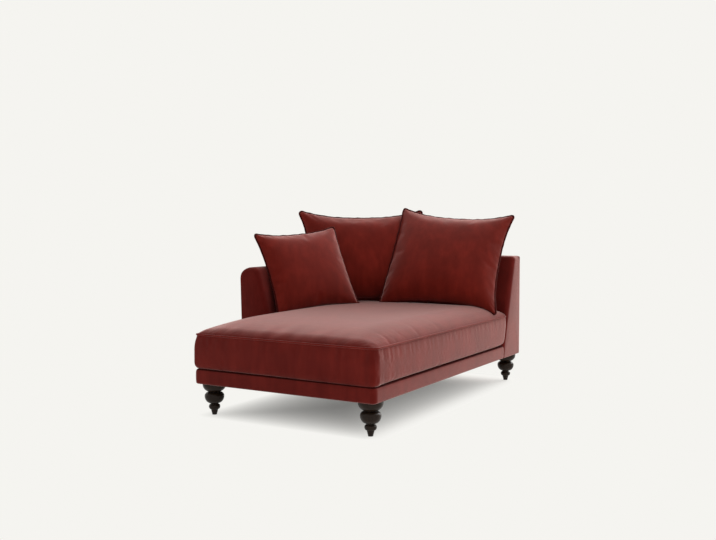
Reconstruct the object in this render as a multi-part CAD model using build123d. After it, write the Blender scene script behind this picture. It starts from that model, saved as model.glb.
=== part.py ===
from build123d import *
import os
from math import cos, radians, sin

# A meridienne: a chaise with one raked arm, a raked back, a loose seat cushion and loose pillows.
# Millimetres. +X points to the open side, +Y from the foot end to the back, +Z up.
# The origin lies on the floor, under the middle of the outline.

# Outline of the whole piece
OVERALL_WIDTH = 1245.0
OVERALL_LENGTH = 1782.0
SEAT_WIDTH = 1000.0
BACK_HEIGHT = 738.0
BACK_TOP_THICKNESS = 108.0
BACK_FOOT_THICKNESS = 288.0
ARM_HEIGHT = 692.0
ARM_TOP_THICKNESS = 105.0
ARM_LENGTH = 1110.0
FOOT_HEIGHT = 155.0
BASE_HEIGHT = 75.0

# Padding and covers
BAND = 14.0
BAND_ROUND = 9.0
INSIDE_PAD = 30.0
BACK_TOP_PAD = 24.0
ARM_TOP_PAD = 40.0
ARM_FRONT_PAD = 46.0
ARM_EDGE_ROUND = 34.0
ARM_FRONT_ROUND = 20.0
BACK_EDGE_ROUND = 10.0
OUTSIDE_COVER = 6.0
OUTSIDE_PANEL = 3.0

# Timber and suspension
RAIL = 24.0
RAIL_DROP = 4.0
RIB = 18.0
TOP_RAIL_WIDTH = 40.0
TOP_RAIL_DEPTH = 25.0
SILL_HEIGHT = 40.0
CROSS_MEMBERS = 3
CROSS_MEMBER_HEIGHT = 45.0
WEB_WIDTH = 60.0
WEB_THICKNESS = 1.6
WEB_PITCH = 112.0
DECK_INSET = 24.0
DUST_CLOTH = 0.8

# Feet and fasteners
FOOT_SIDE_INSET = 57.0
FOOT_FRONT_INSET = 64.0
FOOT_REAR_INSET = 84.0
FOOT_ARM_INSET = 105.0
FOOT_DISC_RADIUS = 55.0
FOOT_COLLAR_RADIUS = 37.0
FOOT_BULB_RADIUS = 48.0
FOOT_NECK_RADIUS = 22.0
FOOT_KNOB_RADIUS = 28.0
FOOT_TOE_RADIUS = 14.0
BLOCK_SIZE = 80.0
BLOCK_HEIGHT = 38.0
PLATE_SIZE = 80.0
PLATE = 3.0
GLIDE_RADIUS = 12.0
GLIDE_HEIGHT = 4.0
GLIDE_STEM_RADIUS = 2.5
GLIDE_STEM_LENGTH = 14.0
BOLT_RADIUS = 4.0
BOLT_HEAD_RADIUS = 8.0
BOLT_HEAD_HEIGHT = 5.0
BOLT_CLEARANCE = 0.2
FOOT_BOLT_DEPTH = 40.0
ARM_BOLTS = 3
BACK_BOLTS = 4

# Seat cushion
CUSHION_LIFT = 8.0
BOXING_HEIGHT = 160.0
CUSHION_INSET = 7.0
CUSHION_BULGE = 6.5
CUSHION_CORNER = 30.0
CUSHION_CROWN = 74.0
CUSHION_SHOULDER = 170.0
CROWN_AT_SHOULDER = 0.9
CROWN_FROM_FRONT = 700.0
CROWN_FROM_REAR = 340.0
CROWN_AT_FRONT = 0.08
CROWN_AT_REAR = 0.55
CORNER_STEPS = (12, 32, 50, 70, 90)
WRAP_MARGIN = 40.0
WRAP_THICKNESS = 16.0
PIPING_RADIUS = 4.0
PIPING_SEAT = 1.5

# Clearances
LOOSE_GAP = 0.6
SEAT_GAP = 0.3
INNER_GAP = 0.5

# Pillows: width, height, thickness, the foot of the middle line as distances from the open side and
# from the rear, the turn towards the open side, the lean and the roll in degrees
PILLOW_EDGE = 9.0
PILLOW_PIPING = 8.0
PILLOW_WALL = 2.0
PILLOW_DRAW_IN = 15.0
PILLOW_SINK = 38.0
PILLOWS = {
    "corner_pillow": (752.0, 618.0, 165.0, 801.0, 464.0, 38.0, 21.8, 0.0),
    "large_pillow": (668.0, 675.0, 170.0, 342.0, 439.0, 12.8, 33.5, -4.1),
    "small_pillow": (500.0, 526.0, 140.0, 894.0, 856.0, 60.0, 27.2, 5.1),
}

# Places worked out from the sizes above
X_RIGHT = OVERALL_WIDTH / 2
X_ARM = -OVERALL_WIDTH / 2
X_LEFT = X_RIGHT - SEAT_WIDTH
Y_FRONT = -OVERALL_LENGTH / 2
Y_REAR = OVERALL_LENGTH / 2
Y_ARM = Y_REAR - ARM_LENGTH
Y_ARM_FRAME = Y_ARM + ARM_FRONT_PAD
Y_SEAT_REAR = Y_REAR - BACK_FOOT_THICKNESS
Y_BACK_FRAME = Y_REAR - OUTSIDE_COVER - OUTSIDE_PANEL
X_ARM_FRAME = X_ARM + OUTSIDE_COVER + OUTSIDE_PANEL
Z_BASE = FOOT_HEIGHT
Z_BASE_TOP = Z_BASE + BASE_HEIGHT
Z_RAIL = Z_BASE + PLATE
Z_RAIL_TOP = Z_BASE_TOP - RAIL_DROP
Z_WEB_TOP = Z_RAIL_TOP + 2 * WEB_THICKNESS
Z_CUSHION = Z_BASE_TOP + CUSHION_LIFT
Z_SEAM = Z_CUSHION + BOXING_HEIGHT
X_SEAT = (X_LEFT + X_RIGHT) / 2
BACK_RAKE = (BACK_FOOT_THICKNESS - BACK_TOP_THICKNESS) / (BACK_HEIGHT - Z_BASE)
ARM_RAKE = (X_LEFT - X_ARM - ARM_TOP_THICKNESS) / (ARM_HEIGHT - Z_CUSHION)

FEET = {
    "front_left": (X_LEFT + FOOT_SIDE_INSET, Y_FRONT + FOOT_FRONT_INSET),
    "front_right": (X_RIGHT - FOOT_SIDE_INSET, Y_FRONT + FOOT_FRONT_INSET),
    "rear_right": (X_RIGHT - FOOT_SIDE_INSET, Y_REAR - FOOT_REAR_INSET),
    "rear_left": (X_ARM + FOOT_SIDE_INSET, Y_REAR - FOOT_REAR_INSET),
    "arm_front": (X_ARM + FOOT_SIDE_INSET, Y_ARM + FOOT_ARM_INSET),
}


def back_face(z):
    """Y of the back's raked inside face at height z."""
    return Y_REAR - BACK_TOP_THICKNESS - (BACK_HEIGHT - z) * BACK_RAKE


def arm_face(z):
    """X of the arm's raked inside face at height z."""
    return X_ARM + ARM_TOP_THICKNESS + (ARM_HEIGHT - z) * ARM_RAKE


def block(x0, x1, y0, y1, z0, z1):
    """A plain block between two corners."""
    return Pos((x0 + x1) / 2, (y0 + y1) / 2, (z0 + z1) / 2) * Box(x1 - x0, y1 - y0, z1 - z0)


def rod(start, direction, radius, length):
    """A round bar from a start point along a direction."""
    return extrude(Plane(start, z_dir=direction) * Circle(radius), length)


def along_x(points, radii, x0, x1):
    """A Y-Z outline with rounded corners, carried along X."""
    outline = make_face(FilletPolyline(points, radius=radii, close=True))
    return extrude(Plane((x0, 0, 0), x_dir=(0, 1, 0), z_dir=(1, 0, 0)) * outline, x1 - x0)


def along_y(points, radii, y0, y1):
    """An X-Z outline with rounded corners, carried along Y."""
    outline = make_face(FilletPolyline(points, radius=radii, close=True))
    return extrude(Plane((0, y1, 0), x_dir=(1, 0, 0), z_dir=(0, -1, 0)) * outline, y1 - y0)


def back_wedge(x0, x1, edge=0.0):
    """The whole outline of the back between two X places."""
    points = [
        (back_face(Z_BASE), Z_BASE),
        (Y_REAR, Z_BASE),
        (Y_REAR, BACK_HEIGHT),
        (back_face(BACK_HEIGHT), BACK_HEIGHT),
    ]
    return along_x(points, [0, 0, edge, edge], x0, x1)


def arm_wedge(y0, y1, edge=0.0):
    """The whole outline of the arm between two Y places."""
    points = [
        (X_ARM, Z_BASE),
        (X_LEFT, Z_BASE),
        (X_LEFT, Z_CUSHION),
        (arm_face(ARM_HEIGHT), ARM_HEIGHT),
        (X_ARM, ARM_HEIGHT),
    ]
    return along_y(points, [0, 0, 0, edge, edge], y0, y1)


BACK_FORM = back_wedge(X_ARM, X_RIGHT)
ARM_FORM = arm_wedge(Y_ARM, Y_REAR - BACK_TOP_THICKNESS)


def bolts(places, direction, grip):
    """Bolts with a head before the start point and a nut after the grip."""
    made = []
    axis = Vector(direction)
    for place in places:
        start = Vector(place)
        head = rod(start - axis * BOLT_HEAD_HEIGHT, direction, BOLT_HEAD_RADIUS, BOLT_HEAD_HEIGHT)
        shank = rod(start, direction, BOLT_RADIUS, grip + 2 * BOLT_HEAD_HEIGHT)
        nut = rod(start + axis * grip, direction, BOLT_HEAD_RADIUS, BOLT_HEAD_HEIGHT)
        bore = rod(start + axis * grip, direction, BOLT_RADIUS, BOLT_HEAD_HEIGHT)
        made += [head + shank, nut - bore]
    return made


def bolt_holes(places, direction, start_offset, length):
    """Clearance holes for bolts through one rail."""
    axis = Vector(direction)
    return [
        rod(Vector(p) + axis * start_offset, direction, BOLT_RADIUS + BOLT_CLEARANCE, length)
        for p in places
    ]


def spread(low, high, count):
    """Evenly spaced places inside a span."""
    return [low + (high - low) * (i + 0.5) / count for i in range(count)]


# Base frame

Z_BOLT = (Z_RAIL + Z_RAIL_TOP) / 2
ARM_BOLT_PLACES = [
    (X_LEFT + BAND - RAIL, y, Z_BOLT) for y in spread(Y_ARM_FRAME, Y_SEAT_REAR - RAIL, ARM_BOLTS)
]
BACK_BOLT_PLACES = [
    (x, Y_SEAT_REAR - RAIL, Z_BOLT) for x in spread(X_LEFT + BAND + RAIL, X_RIGHT - BAND - RAIL, BACK_BOLTS)
]


def base_frame():
    """Four rails and the cross members, with holes where the arm and the back bolt on."""
    y_front = Y_FRONT + BAND
    x_left = X_LEFT + BAND
    x_right = X_RIGHT - BAND
    y_side = y_front + RAIL
    y_end = Y_SEAT_REAR - RAIL
    left = block(x_left, x_left + RAIL, y_side, y_end, Z_RAIL, Z_RAIL_TOP)
    rear = block(x_left, x_right, y_end, Y_SEAT_REAR, Z_RAIL, Z_RAIL_TOP)
    half = RAIL / 2
    z_cross = Z_RAIL + CROSS_MEMBER_HEIGHT
    cross = [
        block(x_left + RAIL, x_right - RAIL, y - half, y + half, Z_RAIL, z_cross)
        for y in spread(y_side + BLOCK_SIZE, y_end, CROSS_MEMBERS)
    ]
    return {
        "front_rail": block(x_left, x_right, y_front, y_side, Z_RAIL, Z_RAIL_TOP),
        "right_rail": block(x_right - RAIL, x_right, y_side, y_end, Z_RAIL, Z_RAIL_TOP),
        "left_rail": left - bolt_holes(ARM_BOLT_PLACES, (1, 0, 0), RAIL, RAIL),
        "rear_rail": rear - bolt_holes(BACK_BOLT_PLACES, (0, 1, 0), 0, RAIL),
        "cross_members": cross,
    }


def suspension():
    """Crosswise and lengthwise webbing, the padded deck and the cloth under the frame."""
    x_left = X_LEFT + BAND
    x_right = X_RIGHT - BAND
    y_front = Y_FRONT + BAND
    cross_count = int((Y_SEAT_REAR - y_front - 2 * RAIL) / WEB_PITCH)
    long_count = int((x_right - x_left - 2 * RAIL) / WEB_PITCH)
    z_mid = Z_RAIL_TOP + WEB_THICKNESS
    half = WEB_WIDTH / 2
    crosswise = [
        block(x_left, x_right, y - half, y + half, Z_RAIL_TOP, z_mid)
        for y in spread(y_front + RAIL, Y_SEAT_REAR - RAIL, cross_count)
    ]
    lengthwise = [
        block(x - half, x + half, y_front, Y_SEAT_REAR, z_mid, Z_WEB_TOP)
        for x in spread(x_left + RAIL, x_right - RAIL, long_count)
    ]
    deck_left = X_LEFT + DECK_INSET
    deck_right = X_RIGHT - DECK_INSET
    deck_front = Y_FRONT + DECK_INSET
    deck = block(deck_left, deck_right, deck_front, Y_SEAT_REAR, Z_WEB_TOP, Z_CUSHION - SEAT_GAP)
    z_cloth = Z_RAIL - DUST_CLOTH
    cloths = [
        block(x_left, x_right, y_front, Y_SEAT_REAR, z_cloth, Z_RAIL),
        block(X_ARM_FRAME, x_left, Y_ARM_FRAME, Y_SEAT_REAR, z_cloth, Z_RAIL),
        block(X_ARM + BAND, X_RIGHT - BAND, Y_SEAT_REAR, Y_BACK_FRAME, z_cloth, Z_RAIL),
    ]
    hole = PLATE_SIZE / 2 + INNER_GAP
    holes = [block(x - hole, x + hole, y - hole, y + hole, Z_BASE, Z_RAIL) for x, y in FEET.values()]
    return {
        "crosswise_webbing": crosswise,
        "lengthwise_webbing": lengthwise,
        "seat_deck": deck,
        "dust_cloth": [cloth - holes for cloth in cloths],
    }


def base_bands():
    """Padded velvet bands on the outside of the base rails."""
    front = block(X_LEFT, X_RIGHT, Y_FRONT, Y_FRONT + BAND, Z_BASE, Z_BASE_TOP)
    front = fillet(front.edges().filter_by(lambda e: e.center().Y < Y_FRONT + BAND - INNER_GAP), BAND_ROUND)
    right = block(X_RIGHT - BAND, X_RIGHT, Y_FRONT + BAND, Y_REAR, Z_BASE, Z_BASE_TOP)
    right = fillet(right.edges().filter_by(Axis.Y).group_by(Axis.X)[-1], BAND_ROUND) - BACK_FORM
    left = block(X_LEFT, X_LEFT + BAND, Y_FRONT + BAND, Y_ARM_FRAME, Z_BASE, Z_BASE_TOP)
    left = fillet(left.edges().filter_by(Axis.Y).group_by(Axis.X)[0], BAND_ROUND)
    return {"front_band": front, "right_band": right, "left_band": left}


# Feet

def foot(x, y):
    """A turned foot: a top disc, a neck with a collar, a bulb, a lower neck, a small bulb and a toe."""
    h = FOOT_HEIGHT
    profile = [
        (0, GLIDE_HEIGHT),
        (FOOT_TOE_RADIUS, GLIDE_HEIGHT),
        ((FOOT_TOE_RADIUS + FOOT_NECK_RADIUS) / 2, 0.18 * h),
        (FOOT_KNOB_RADIUS, 0.28 * h),
        (FOOT_NECK_RADIUS, 0.35 * h),
        (FOOT_NECK_RADIUS, 0.39 * h),
        (0.8 * FOOT_BULB_RADIUS, 0.47 * h),
        (FOOT_BULB_RADIUS, 0.61 * h),
        (0.84 * FOOT_BULB_RADIUS, 0.71 * h),
        (0.9 * FOOT_COLLAR_RADIUS, 0.75 * h),
        (FOOT_COLLAR_RADIUS, 0.77 * h),
        (FOOT_COLLAR_RADIUS, 0.80 * h),
        (0.85 * FOOT_DISC_RADIUS, 0.88 * h),
        (FOOT_DISC_RADIUS, 0.94 * h),
        (FOOT_DISC_RADIUS, h),
        (0, h),
    ]
    turned = revolve(Plane.XZ * make_face(Polyline(profile, close=True)), Axis.Z)
    turned -= rod((0, 0, 0), (0, 0, 1), GLIDE_STEM_RADIUS, GLIDE_HEIGHT + GLIDE_STEM_LENGTH)
    turned -= rod((0, 0, h - FOOT_BOLT_DEPTH), (0, 0, 1), BOLT_RADIUS, FOOT_BOLT_DEPTH)
    return Pos(x, y, 0) * turned


def foot_fittings():
    """Under and over each foot: a glide, a hanger bolt, a steel plate and the timber block."""
    inner = BAND + RAIL
    end = BAND + RIB
    rear = Y_REAR - Y_BACK_FRAME + RAIL
    blocks = [
        (X_LEFT + inner, Y_FRONT + inner),
        (X_RIGHT - inner - BLOCK_SIZE, Y_FRONT + inner),
        (X_RIGHT - end - BLOCK_SIZE, Y_REAR - rear - BLOCK_SIZE),
        (X_ARM + end, Y_REAR - rear - BLOCK_SIZE),
        (X_ARM_FRAME + RAIL, Y_ARM_FRAME + RIB),
    ]
    made = {"foot_glides": [], "foot_bolts": [], "foot_plates": [], "foot_blocks": []}
    for (x, y), (bx, by) in zip(FEET.values(), blocks):
        top = Z_RAIL + BLOCK_HEIGHT
        stem = rod((x, y, GLIDE_HEIGHT), (0, 0, 1), GLIDE_STEM_RADIUS, GLIDE_STEM_LENGTH)
        z_bolt = FOOT_HEIGHT - FOOT_BOLT_DEPTH
        bolt = rod((x, y, z_bolt), (0, 0, 1), BOLT_RADIUS, top - z_bolt)
        hole = rod((x, y, FOOT_HEIGHT), (0, 0, 1), BOLT_RADIUS, top - FOOT_HEIGHT)
        half = PLATE_SIZE / 2
        made["foot_glides"].append(rod((x, y, 0), (0, 0, 1), GLIDE_RADIUS, GLIDE_HEIGHT) + stem)
        made["foot_bolts"].append(bolt)
        made["foot_plates"].append(block(x - half, x + half, y - half, y + half, Z_BASE, Z_RAIL) - hole)
        made["foot_blocks"].append(block(bx, bx + BLOCK_SIZE, by, by + BLOCK_SIZE, Z_RAIL, top) - hole)
    return made


# Back

def back_frame():
    """Notched ribs, the rails let into them and the hardboard on the rear."""
    top = BACK_HEIGHT - BACK_TOP_PAD
    y_foot = Y_SEAT_REAR + RAIL
    y_top = back_face(top) + INSIDE_PAD
    x0 = X_ARM + BAND
    x1 = X_RIGHT - BAND
    outline = [
        (y_foot, Z_RAIL),
        (Y_BACK_FRAME, Z_RAIL),
        (Y_BACK_FRAME, top),
        (back_face(top) + INSIDE_PAD, top),
        (back_face(Z_RAIL_TOP) + INSIDE_PAD, Z_RAIL_TOP),
        (y_foot, Z_RAIL_TOP),
    ]
    top_rail = block(x0, x1, y_top, y_top + TOP_RAIL_WIDTH, top - TOP_RAIL_DEPTH, top)
    sill = block(x0, x1, Y_BACK_FRAME - RAIL, Y_BACK_FRAME, Z_RAIL, Z_RAIL + SILL_HEIGHT)
    foot_rail = block(x0, x1, Y_SEAT_REAR, y_foot, Z_RAIL, Z_RAIL_TOP)
    made = {
        "back_foot_rail": foot_rail - bolt_holes(BACK_BOLT_PLACES, (0, 1, 0), RAIL, RAIL),
        "back_top_rail": top_rail,
        "back_sill": sill,
        "back_panel": block(x0, x1, Y_BACK_FRAME, Y_REAR - OUTSIDE_COVER, Z_RAIL, top),
        "back_bolts": bolts(BACK_BOLT_PLACES, (0, 1, 0), 2 * RAIL),
    }
    ribs = {
        "right": x1 - RIB,
        "middle": X_SEAT - RIB / 2,
        "arm": X_LEFT,
        "left": x0,
    }
    for name, x in ribs.items():
        made[f"back_rib_{name}"] = along_x(outline, [0] * len(outline), x, x + RIB) - top_rail - sill
    return made


def back_upholstery():
    """The inside pad over the rake and the top, the two end panels and the outside cover."""
    top = BACK_HEIGHT - BACK_TOP_PAD
    hook = [
        (back_face(Z_BASE_TOP), Z_BASE_TOP),
        (back_face(BACK_HEIGHT), BACK_HEIGHT),
        (Y_REAR, BACK_HEIGHT),
        (Y_REAR, top),
        (back_face(top) + INSIDE_PAD, top),
        (back_face(Z_BASE_TOP) + INSIDE_PAD, Z_BASE_TOP),
    ]
    rounds = [0, BACK_EDGE_ROUND, BACK_EDGE_ROUND, 0, 0, 0]
    x0 = X_ARM + BAND
    x1 = X_RIGHT - BAND
    return {
        "back_inside_pad": along_x(hook, rounds, x0, x1),
        "back_end_right": back_wedge(x1, X_RIGHT, BACK_EDGE_ROUND),
        "back_end_left": back_wedge(X_ARM, x0, BACK_EDGE_ROUND),
        "back_outside_cover": block(x0, x1, Y_REAR - OUTSIDE_COVER, Y_REAR, Z_BASE, top),
    }


# Arm

def arm_frame():
    """Notched ribs, the rails let into them and the hardboard on the outside."""
    top = ARM_HEIGHT - ARM_TOP_PAD
    x_rail = X_LEFT + BAND - RAIL
    x_top = arm_face(top) - INSIDE_PAD
    outline = [
        (X_ARM_FRAME, Z_RAIL),
        (x_rail, Z_RAIL),
        (x_rail, Z_RAIL_TOP),
        (X_LEFT - INSIDE_PAD, Z_RAIL_TOP),
        (X_LEFT - INSIDE_PAD, Z_CUSHION),
        (x_top, top),
        (X_ARM_FRAME, top),
    ]
    x_rail_top = x_top - TOP_RAIL_WIDTH
    top_rail = block(x_rail_top, x_top, Y_ARM_FRAME, Y_REAR, top - TOP_RAIL_DEPTH, top) - BACK_FORM
    sill = block(X_ARM_FRAME, X_ARM_FRAME + RAIL, Y_ARM_FRAME, Y_SEAT_REAR, Z_RAIL, Z_RAIL + SILL_HEIGHT)
    foot_rail = block(x_rail, x_rail + RAIL, Y_ARM_FRAME, Y_SEAT_REAR, Z_RAIL, Z_RAIL_TOP)
    panel = block(X_ARM + OUTSIDE_COVER, X_ARM_FRAME, Y_ARM_FRAME, Y_REAR, Z_RAIL, top)
    made = {
        "arm_foot_rail": foot_rail - bolt_holes(ARM_BOLT_PLACES, (1, 0, 0), 0, RAIL),
        "arm_top_rail": top_rail,
        "arm_sill": sill,
        "arm_panel": panel - BACK_FORM,
        "arm_bolts": bolts(ARM_BOLT_PLACES, (1, 0, 0), 2 * RAIL),
    }
    ribs = {
        "front": Y_ARM_FRAME,
        "middle": (Y_ARM_FRAME + Y_SEAT_REAR) / 2,
        "rear": Y_SEAT_REAR - RIB,
    }
    for name, y in ribs.items():
        made[f"arm_rib_{name}"] = along_y(outline, [0] * len(outline), y, y + RIB) - top_rail - sill
    return made


def arm_upholstery():
    """The inside pad over the rake and the top, the rounded front pad and the outside cover."""
    top = ARM_HEIGHT - ARM_TOP_PAD
    hook = [
        (X_LEFT, Z_BASE_TOP),
        (X_LEFT, Z_CUSHION),
        (arm_face(ARM_HEIGHT), ARM_HEIGHT),
        (X_ARM, ARM_HEIGHT),
        (X_ARM, top),
        (arm_face(top) - INSIDE_PAD, top),
        (X_LEFT - INSIDE_PAD, Z_CUSHION),
        (X_LEFT - INSIDE_PAD, Z_BASE_TOP),
    ]
    rounds = [0, 0, ARM_EDGE_ROUND, ARM_EDGE_ROUND, 0, 0, 0, 0]
    front = arm_wedge(Y_ARM, Y_ARM_FRAME, ARM_EDGE_ROUND)
    front = fillet(front.faces().sort_by(Axis.Y)[0].edges(), ARM_FRONT_ROUND)
    cover = block(X_ARM, X_ARM + OUTSIDE_COVER, Y_ARM_FRAME, Y_REAR, Z_BASE, top)
    return {
        "arm_inside_pad": along_y(hook, rounds, Y_ARM_FRAME, Y_REAR) - BACK_FORM,
        "arm_front_pad": front,
        "arm_outside_cover": cover - BACK_FORM,
    }


# Seat cushion

def cushion_section(y, w, rise):
    """One closed outline of the cushion across X: flat below, bulged sides, rounded shoulders, a crown."""
    low = Z_CUSHION
    seam = Z_SEAM
    middle = (low + seam) / 2
    bulge = w + CUSHION_BULGE
    turn = w - 0.4 * CUSHION_SHOULDER
    inner = w - CUSHION_SHOULDER
    z_turn = seam + 0.6 * rise
    z_inner = seam + CROWN_AT_SHOULDER * rise
    edges = [
        Line((-w, low), (w, low)),
        ThreePointArc((w, low), (bulge, middle), (w, seam)),
        ThreePointArc((w, seam), (turn, z_turn), (inner, z_inner)),
        ThreePointArc((inner, z_inner), (0, seam + rise), (-inner, z_inner)),
        ThreePointArc((-inner, z_inner), (-turn, z_turn), (-w, seam)),
        ThreePointArc((-w, seam), (-bulge, middle), (-w, low)),
    ]
    plane = Plane((X_SEAT, y, 0), x_dir=(1, 0, 0), z_dir=(0, -1, 0))
    return plane * Wire(edges)


def foam_block(margin):
    """A plain block inside the cushion, this far from its outline and further from the crown."""
    low = Z_CUSHION + margin / 2
    high = Z_SEAM + CUSHION_CROWN / 2 - margin
    return block(X_LEFT + margin, X_RIGHT - margin, Y_FRONT + margin, Y_SEAT_REAR - margin, low, high)


def crown(distance, reach, at_end, power):
    """Rise over the seam this far in from an end: a share of the crown there, growing to all of it."""
    left = 1 - min(distance / reach, 1)
    return CUSHION_CROWN * (1 - (1 - at_end) * left ** power)


def cushion_form(gap):
    """The cushion's closed form, cut to the rake of the back with a gap."""
    y0 = Y_FRONT + CUSHION_INSET
    y1 = back_face(Z_SEAM + CUSHION_CROWN) + BAND
    half = SEAT_WIDTH / 2 - CUSHION_INSET
    r = CUSHION_CORNER
    front = CROWN_FROM_FRONT
    rear = CROWN_FROM_REAR
    corner = [(r - r * cos(a), half - r + r * sin(a)) for a in map(radians, CORNER_STEPS)]
    run = [(d * front, half) for d in (0.07, 0.13, 0.22, 0.35, 0.5, 0.7, 1)]
    sections = [cushion_section(y0 + d, w, crown(d, front, CROWN_AT_FRONT, 3.6)) for d, w in corner + run]
    falls = [d * rear for d in (1, 0.5, 0.25, 0)]
    sections += [cushion_section(y1 - d, half, crown(d, rear, CROWN_AT_REAR, 2.6)) for d in falls]
    return Solid.make_loft(sections, ruled=True) - Pos(0, -gap, 0) * BACK_FORM


def seam_piping():
    """The welt along the seat cushion's upper seam, a round cord on straight runs and arcs."""
    proud = PIPING_RADIUS - PIPING_SEAT
    half = SEAT_WIDTH / 2 - CUSHION_INSET + proud
    y0 = Y_FRONT + CUSHION_INSET - proud
    y1 = back_face(Z_SEAM - PIPING_RADIUS) - LOOSE_GAP - PIPING_RADIUS
    corners = [
        (X_SEAT - half, y0, Z_SEAM),
        (X_SEAT + half, y0, Z_SEAM),
        (X_SEAT + half, y1, Z_SEAM),
        (X_SEAT - half, y1, Z_SEAM),
    ]
    path = FilletPolyline(corners, radius=CUSHION_CORNER, close=True)
    start = path @ 0
    return sweep(Plane(start, z_dir=path % 0) * Circle(PIPING_RADIUS), path)


def seat_cushion():
    """The loose seat cushion: padded cover, welt, fibre wrap and foam core."""
    cord = seam_piping()
    wrap = foam_block(WRAP_MARGIN)
    core = foam_block(WRAP_MARGIN + WRAP_THICKNESS)
    return {
        "seat_cover": cushion_form(LOOSE_GAP) - cord - wrap,
        "seat_fibre_wrap": wrap - core,
        "seat_foam_core": core,
        "seat_piping": cord,
    }


# Pillows

def seat_top(x):
    """Height of the seat cushion's top across its middle."""
    half = SEAT_WIDTH / 2 - CUSHION_INSET
    off = abs(x - X_SEAT)
    flat = half - CUSHION_SHOULDER
    fall = 1 - CROWN_AT_SHOULDER
    if off < flat:
        return Z_SEAM + CUSHION_CROWN * (1 - fall * (off / flat) ** 2)
    return Z_SEAM + CROWN_AT_SHOULDER * CUSHION_CROWN * (1 - ((off - flat) / CUSHION_SHOULDER) ** 2)


def pillow_plane(height, from_side, from_rear, turn, lean, roll):
    """The plane through a pillow's piping: x along its width, y up its height, z out of its front."""
    turn, lean, roll = radians(turn), radians(lean), radians(roll)
    level = Vector(cos(turn), sin(turn), 0)
    front = Vector(sin(turn), -cos(turn), 0)
    rise = Vector(0, 0, cos(lean)) - front * sin(lean)
    across = level * cos(roll) + rise * sin(roll)
    upward = rise * cos(roll) - level * sin(roll)
    x = X_RIGHT - from_side
    foot_point = Vector(x, Y_REAR - from_rear, seat_top(x) - PILLOW_SINK)
    outward = front * cos(lean) + Vector(0, 0, sin(lean))
    return Plane(foot_point + upward * (height / 2), x_dir=across, z_dir=outward)


def pillow_outline(width, height):
    """A pillow's outline: four sides drawn in between pointed corners."""
    w, h, d = width / 2, height / 2, PILLOW_DRAW_IN
    return make_face([
        ThreePointArc((-w, -h), (0, d - h), (w, -h)),
        ThreePointArc((w, -h), (w - d, 0), (w, h)),
        ThreePointArc((w, h), (0, h - d), (-w, h)),
        ThreePointArc((-w, h), (d - w, 0), (-w, -h)),
    ])


def pillow_section(x, half_height, thickness, edge):
    """A lens across a pillow: two arcs joined by two short edges."""
    h, t, e = half_height, thickness / 2, edge / 2
    lens = Wire([
        Line((h, -e), (h, e)),
        ThreePointArc((h, e), (0, t), (-h, e)),
        Line((-h, e), (-h, -e)),
        ThreePointArc((-h, -e), (0, -t), (h, -e)),
    ])
    return Plane((x, 0, 0), x_dir=(0, 1, 0), z_dir=(1, 0, 0)) * lens


def pillow_form(width, height, thickness, wall):
    """A pillow's plump form in its own plane, drawn in by a wall."""
    w = width - 2 * wall
    h = height - 2 * wall
    t = thickness - 2 * wall
    e = PILLOW_EDGE - 2 * wall
    at_side = 1.5 * e
    sections = []
    for share in (-1, -0.93, -0.75, -0.4, 0, 0.4, 0.75, 0.93, 1):
        plump = (1 - abs(share) ** 2.4) ** 0.8
        sections.append(pillow_section(share * w / 2, h / 2, at_side + (t - at_side) * plump, e))
    return Solid.make_loft(sections) & extrude(pillow_outline(w, h), t, both=True)


def pressed(form, contacts, gap):
    """A soft form flattened where it lies on its neighbours, with a gap."""
    for neighbour, direction in contacts:
        form -= Pos(*(Vector(direction) * gap)) * neighbour
    return form


def pillow(spec, contacts):
    """One pillow: its whole outer form, and its cover, filling and piping as pieces."""
    width, height, thickness, *place = spec
    plane = pillow_plane(height, *place)
    w, h = width - 2 * PILLOW_PIPING, height - 2 * PILLOW_PIPING
    outer = pressed(plane * pillow_form(w, h, thickness, 0), contacts, LOOSE_GAP)
    wall = PILLOW_WALL
    cavity = pressed(plane * pillow_form(w, h, thickness, wall), contacts, LOOSE_GAP + wall)
    wall += INNER_GAP
    filling = pressed(plane * pillow_form(w, h, thickness, wall), contacts, LOOSE_GAP + wall)
    ring = extrude(pillow_outline(width, height) - pillow_outline(w, h), PILLOW_PIPING / 2, both=True)
    ring = pressed(plane * ring, contacts, LOOSE_GAP)
    return outer + ring, plane.z_dir, {"cover": outer - cavity, "filling": filling, "piping": ring}


def pillows():
    """The corner pillow leans on the arm and the back, and the other two lean beside and on it."""
    seat = (cushion_form(LOOSE_GAP) + seam_piping(), (0, 0, 1))
    back = (BACK_FORM, (0, -1, 0))
    arm = (ARM_FORM, (1, 0, 0))
    made = {}
    corner, corner_front, pieces = pillow(PILLOWS["corner_pillow"], [seat, back, arm])
    made["corner_pillow"] = pieces
    rest = (corner, corner_front)
    made["large_pillow"] = pillow(PILLOWS["large_pillow"], [seat, back, rest])[2]
    made["small_pillow"] = pillow(PILLOWS["small_pillow"], [seat, arm, rest])[2]
    return {f"{name}_{piece}": shape for name, pieces in made.items() for piece, shape in pieces.items()}


if __name__ == "__main__":
    os.makedirs("parts", exist_ok=True)
    nodes = {}
    for group in (base_frame, suspension, base_bands, foot_fittings, back_frame, back_upholstery,
                  arm_frame, arm_upholstery, seat_cushion, pillows):
        nodes.update(group())
    for name, (x, y) in FEET.items():
        nodes[f"foot_{name}"] = foot(x, y)
    for name, shape in nodes.items():
        solids = []
        for piece in shape if isinstance(shape, list) else [shape]:
            solids += piece.solids()
        export_step(Compound(children=solids) if len(solids) > 1 else solids[0], f"parts/{name}.step")
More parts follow.
